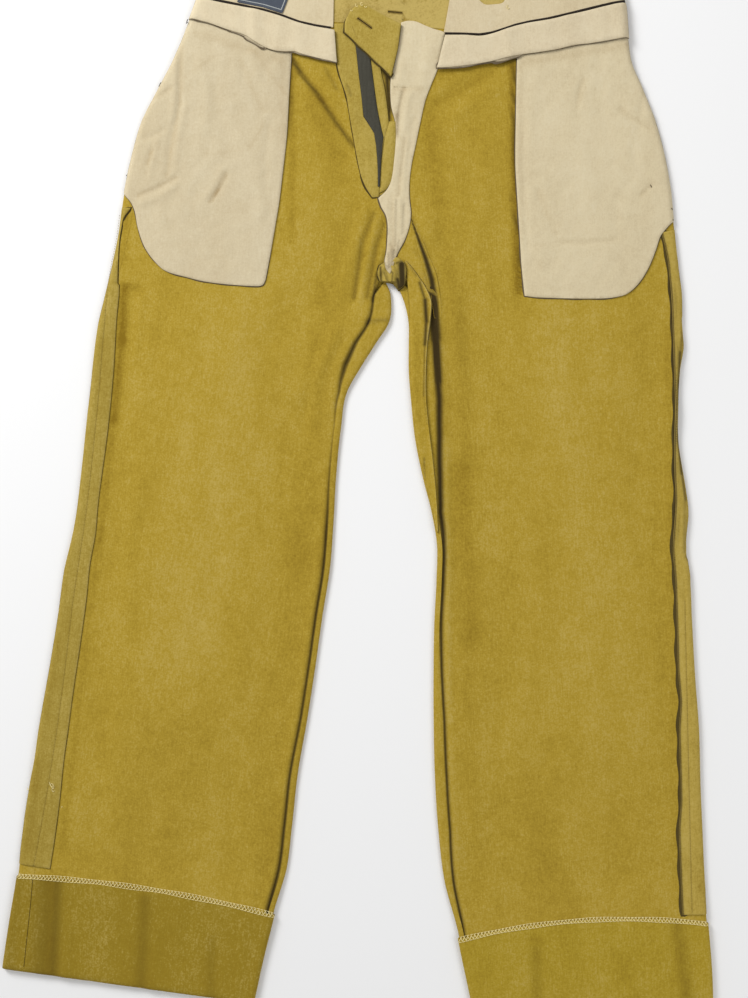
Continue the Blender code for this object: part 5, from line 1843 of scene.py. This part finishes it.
# Curled pale threads and short dark ends that stand off the cloth
Curl = namedtuple("Curl", "leg across down height turns size")
CURLS = named(Curl, (
    (LEFT, 52.6, 785, 1.7, 3.2, 3.4), (LEFT, 54.0, 790, 1.7, 1.6, 2.4), (LEFT, 30, 789, 1.7, 1.1, 1.5),
    (LEFT, 62.4, 806, 1.8, 0.8, 0.9), (RIGHT, 508, 9, 2.4, 1.5, 2.6), (LEFT, 357, 8, 4.6, 1.3, 2.2),
    (LEFT, 362, 6.8, 4.6, 1.6, 2.4), (LEFT, 366, 8.4, 4.6, 0.9, 2.0), (LEFT, 352, 12, 4.6, 0.9, 1.8),
))
End = namedtuple("End", "leg across down height length lean")
ENDS = named(End, (
    (LEFT, 157.2, 84, 1.0, 4.0, 1.45), (LEFT, 126, 175, 1.0, 1.6, 0.4),
    (RIGHT, 650.6, 186.6, 1.7, 2.6, 1.0), (RIGHT, 671, 209, 1.2, 1.6, 0.6),
    (RIGHT, 672, 220, 1.2, 1.2, 1.4), (LEFT, 187.5, 21, 2.2, 4.6, 1.5),
    (LEFT, 189.4, 21.6, 2.4, 4.4, 1.4), (LEFT, 291, 30, 3.3, 1.0, 0.2),
    (LEFT, 288.4, 30.4, 3.3, 1.0, 0.4),
))


def loose_threads():
    """Ends of thread that stand off the cloth: by the side seams, the tab and the waist."""
    pale = []
    for leg, x, y, height, turns, size in CURLS:
        turn = np.linspace(0, turns * math.pi, 18)
        reach = size * (0.25 + 0.75 * np.linspace(0, 1, 18))
        spots_x = x + reach * np.cos(turn) * 0.8
        spots_y = y + reach * np.sin(turn * 1.1)
        pale.append(on_skin(leg, spots_x, spots_y, height + 0.5 * np.sin(np.linspace(0, math.pi, 18))))
    dress(threads("loose_threads", pale, LOOSE_THREAD), "thread", "twill")
    dark = []
    for leg, x, y, height, length, lean in ENDS:
        step = np.linspace(-0.5, 0.5, 6) * length
        spots_x = x + step * math.cos(lean)
        spots_y = y + step * math.sin(lean) + 0.3 * np.sin(step)
        dark.append(on_skin(leg, spots_x, spots_y, height + 0.25 * np.cos(step / length * math.pi)))
    dress(threads("dark_thread_ends", dark, DARK_THREAD), "dark_thread_and_slit_shadow", "twill")


def make_sewing():
    shield = sewn(RIGHT, [(393, 87.4), (402, 88), (412, 88.4), (422, 88)], GAP + COTTON + 0.12)
    dress(threads("shield_stitches", shield, 0.2), "cream_thread", "pocketing")
    buttonhole("tab_buttonhole", LEFT, (357.5, 20), (372, 30.5), TAB_LEVEL + TWILL + 0.1, "olive_thread")
    buttonhole("waist_buttonhole", LEFT, (388, 12.2), (402.4, 13.6), WAISTBAND_ABOVE + 0.1, "olive_thread")
    hem_seam = sewn(LEFT, [(33.4, 878), (31.6, 900), (28, 934), (24.6, 966)], 0.02, 2.2, 2.0, 0.05,
                    more=2 * PLY_STEP, lift=0.0, folds=HEM_CREASES)
    dress(threads("hem_seam_stitches", hem_seam, 0.26), "dark_thread_and_slit_shadow", "twill")
    olive = []
    olive += sewn(LEFT, LEFT_SEAM_LINE, GAP + TWILL + 0.02, 2.6, 1.6, 0.05)
    olive += sewn(RIGHT, [(684.4, 600), (688, 760), (691.6, 912)], GAP + TWILL + 0.02, 2.6, 1.6, 0.05)
    olive += sewn(LEFT, [(352, 28), (360, 45), (374, 58), (389, 73)], TAB_LEVEL + TWILL + 0.1, 2.4, 1.7, 0.12)
    dress(threads("seam_stitches", olive, SEAM_THREAD), "olive_thread", "twill")
    loose_threads()


# Each sheet's cut: width and length in metres, flat area in square metres, how it lies and on what
Cut = namedtuple("Cut", "name width length area held rests_on with_pieces", defaults=((),))
CUTS = named(Cut, (
    ("back_left_cloth", 0.32, 1.03, 0.274, "laid", ["hem_back_left_cloth"]),
    ("back_right_cloth", 0.33, 1.03, 0.285, "laid", ["hem_back_right_cloth"]),
    ("front_left_cloth", 0.275, 1.02, 0.235, "laid", ["back_left_cloth"],
     ["seam_stitches", "loose_threads", "dark_thread_ends"]),
    ("front_right_cloth", 0.275, 1.03, 0.245, "laid", ["back_right_cloth"], ["front_right_shadow_strip"]),
    ("hem_front_left_cloth", 0.262, 0.098, 0.0251, "folded", ["front_left_cloth"],
     ["hem_stitches_left", "hem_seam_stitches"]),
    ("hem_front_right_cloth", 0.262, 0.098, 0.0245, "folded", ["front_right_cloth"], ["hem_stitches_right"]),
    ("hem_back_left_cloth", 0.262, 0.098, 0.0251, "folded", []),
    ("hem_back_right_cloth", 0.262, 0.098, 0.0246, "folded", []),
    ("waistband_left_cloth", 0.21, 0.041, 0.0081, "laid", ["back_waistband_lining_cloth"],
     ["waist_buttonhole_stitches", "waist_buttonhole_slit_shadow"]),
    ("waistband_right_cloth", 0.235, 0.041, 0.0091, "laid", ["back_waistband_lining_cloth"]),
    ("waistband_lining_left_cloth", 0.15, 0.036, 0.0049, "laid", ["waistband_left_cloth"]),
    ("waistband_lining_right_cloth", 0.19, 0.036, 0.0062, "laid", ["waistband_right_cloth"]),
    ("piping_left_cord", 0.01, 0.15, 0.00062, "laid", ["waistband_left_cloth"]),
    ("piping_right_cord", 0.01, 0.185, 0.0008, "laid", ["waistband_right_cloth"]),
    ("back_waistband_cloth", 0.43, 0.041, 0.0167, "laid", []),
    ("back_waistband_lining_cloth", 0.42, 0.041, 0.0161, "laid", ["back_waistband_cloth"]),
    ("back_curtain_cloth", 0.43, 0.045, 0.0169, "laid", ["back_left_cloth", "back_right_cloth"]),
    ("curtain_left_cloth", 0.155, 0.036, 0.005, "laid", ["pocket_bag_left_cloth", "front_left_cloth"]),
    ("curtain_right_cloth", 0.2, 0.036, 0.0068, "laid", ["pocket_bag_right_cloth", "front_right_cloth"]),
    ("pocket_bag_left_cloth", 0.17, 0.285, 0.0376, "laid", ["front_left_cloth"]),
    ("pocket_bag_right_cloth", 0.16, 0.3, 0.039, "laid", ["front_right_cloth"]),
    ("fly_facing_cloth", 0.055, 0.17, 0.0063, "laid", ["front_left_cloth"]),
    ("zip_tape_cloth", 0.016, 0.165, 0.0018, "laid", ["fly_facing_cloth"]),
    ("fly_extension_cloth", 0.018, 0.075, 0.0009, "laid", ["front_right_cloth"]),
    ("fly_shield_cloth", 0.065, 0.25, 0.0074, "laid", ["front_right_cloth"], ["shield_stitches"]),
    ("fly_tab_cloth", 0.055, 0.07, 0.0027, "laid", ["zip_tape_cloth"],
     ["tab_buttonhole_stitches", "tab_buttonhole_slit_shadow"]),
    ("side_seam_left_cloth", 0.027, 0.67, 0.017, "laid", ["front_left_cloth"]),
    ("side_seam_right_cloth", 0.022, 0.69, 0.0143, "laid", ["front_right_cloth"]),
    ("inseam_right_cloth", 0.02, 0.28, 0.0046, "laid", ["front_right_cloth"]),
    ("crotch_gather", 0.035, 0.03, 0.0009, "gathered", ["back_right_cloth"]),
    ("label_cloth", 0.05, 0.026, 0.00124, "laid", ["waistband_lining_left_cloth"], ["label_border"]),
))


def make_stage(settings):
    for item in bpy.context.selected_objects:
        item.select_set(False)
    bpy.ops.mesh.primitive_plane_add(size=FLOOR_SIZE, location=(0, 0, -FLOOR_DROP))
    floor = bpy.context.active_object
    floor.name = "studio_floor"
    paper = bpy.data.materials.new("pale_paper")
    paper.use_nodes = True
    shader = paper.node_tree.nodes["Principled BSDF"]
    shader.inputs["Base Color"].default_value = (0.9, 0.9, 0.9, 1)
    shader.inputs["Roughness"].default_value = 0.8
    floor.data.materials.append(paper)
    world = bpy.data.worlds.new("soft_studio")
    world.use_nodes = True
    background = world.node_tree.nodes["Background"]
    background.inputs["Color"].default_value = (1, 1, 1, 1)
    background.inputs["Strength"].default_value = settings.ambient
    bpy.context.scene.world = world
    for name, place, size, power in (
            ("key_light", (-1.5, 1.5, 1.5), 1.0, settings.key_power),
            ("fill_light", (1.7, -0.6, 1.9), 1.4, settings.fill_power)):
        lamp = bpy.data.lights.new(name, "AREA")
        lamp.size = size
        lamp.energy = power
        lit = bpy.data.objects.new(name, lamp)
        lit.location = place
        lit.rotation_euler = (Vector((0, 0, 0)) - Vector(place)).to_track_quat("-Z", "Y").to_euler()
        bpy.context.scene.collection.objects.link(lit)
    view = bpy.context.scene.view_settings
    view.view_transform = "Standard"
    lens = bpy.data.cameras.new("photo_camera")
    lens.lens = LENS
    lens.sensor_width = SENSOR
    lens.sensor_fit = "AUTO"
    camera = bpy.data.objects.new("photo_camera", lens)
    bpy.context.scene.collection.objects.link(camera)
    height = PICTURE_TALL * MM * lens.lens / lens.sensor_width
    middle = to_world(PICTURE_MIDDLE)
    camera.location = (middle[0], middle[1], middle[2] + height)
    bpy.context.scene.camera = camera


class TrousersSettings(bpy.types.PropertyGroup):
    """Light that a user would change."""
    key_power: bpy.props.FloatProperty(name="Key light", description="Power of the main light",
                                       default=52.0, min=0, unit="POWER")
    fill_power: bpy.props.FloatProperty(name="Fill light", description="Power of the second light",
                                        default=17.0, min=0, unit="POWER")
    ambient: bpy.props.FloatProperty(name="Ambient light", description="Strength of the light all round",
                                     default=0.42, min=0)


class OBJECT_OT_legs(bpy.types.Operator):
    """Builds the front and back panels of both legs"""
    bl_idname = "trousers.legs"
    bl_label = "Leg panels"

    def execute(self, context):
        make_fronts()
        make_backs()
        return {"FINISHED"}


class OBJECT_OT_hems(bpy.types.Operator):
    """Builds the deep turn-ups and their cover stitch"""
    bl_idname = "trousers.hems"
    bl_label = "Hems"

    def execute(self, context):
        make_hems()
        make_hem_stitches()
        return {"FINISHED"}


class OBJECT_OT_waist(bpy.types.Operator):
    """Builds the waistband, its lining, the piping and the label"""
    bl_idname = "trousers.waist"
    bl_label = "Waistband"

    def execute(self, context):
        make_waistband()
        make_back_waist()
        make_label()
        return {"FINISHED"}


class OBJECT_OT_bags(bpy.types.Operator):
    """Builds the pocket bags and the curtain over them"""
    bl_idname = "trousers.bags"
    bl_label = "Pocket bags and curtain"

    def execute(self, context):
        make_pocket_bags()
        make_curtains()
        return {"FINISHED"}


class OBJECT_OT_fly(bpy.types.Operator):
    """Builds the fly's facing, tape, extension, shield and tab, and the gather below it"""
    bl_idname = "trousers.fly"
    bl_label = "Fly"

    def execute(self, context):
        make_fly()
        make_crotch_gather()
        return {"FINISHED"}


class OBJECT_OT_seams(bpy.types.Operator):
    """Builds the seam allowances that lie on the legs"""
    bl_idname = "trousers.seams"
    bl_label = "Seam allowances"

    def execute(self, context):
        make_seam_allowances()
        return {"FINISHED"}


class OBJECT_OT_sewing(bpy.types.Operator):
    """Sews the stitch rows and buttonholes, and lays the loose ends of thread"""
    bl_idname = "trousers.sewing"
    bl_label = "Sewing"

    def execute(self, context):
        make_sewing()
        return {"FINISHED"}


class OBJECT_OT_studio(bpy.types.Operator):
    """Adds the floor, the lights and the camera"""
    bl_idname = "trousers.studio"
    bl_label = "Studio"

    def execute(self, context):
        make_stage(context.scene.trousers)
        return {"FINISHED"}


OPERATORS = (OBJECT_OT_legs, OBJECT_OT_hems, OBJECT_OT_waist, OBJECT_OT_bags, OBJECT_OT_fly, OBJECT_OT_seams,
             OBJECT_OT_sewing, OBJECT_OT_studio)


class VIEW3D_PT_trousers(bpy.types.Panel):
    """Lists the steps that build the trousers"""
    bl_label = "Trousers"
    bl_space_type = "VIEW_3D"
    bl_region_type = "UI"
    bl_category = "Trousers"

    def draw(self, context):
        settings = context.scene.trousers
        for name in TrousersSettings.__annotations__:
            self.layout.prop(settings, name)
        for operator in OPERATORS:
            self.layout.operator(operator.bl_idname)


def register():
    for kind in (TrousersSettings,) + OPERATORS + (VIEW3D_PT_trousers,):
        bpy.utils.register_class(kind)
    bpy.types.Scene.trousers = bpy.props.PointerProperty(type=TrousersSettings)


def unregister():
    del bpy.types.Scene.trousers
    for kind in reversed((TrousersSettings,) + OPERATORS + (VIEW3D_PT_trousers,)):
        bpy.utils.unregister_class(kind)


def main():
    register()
    FINISHES.update(make_finishes())
    for operator in OPERATORS:
        getattr(bpy.ops.trousers, operator.bl_idname.split(".")[1])()


if __name__ == "__main__":
    main()
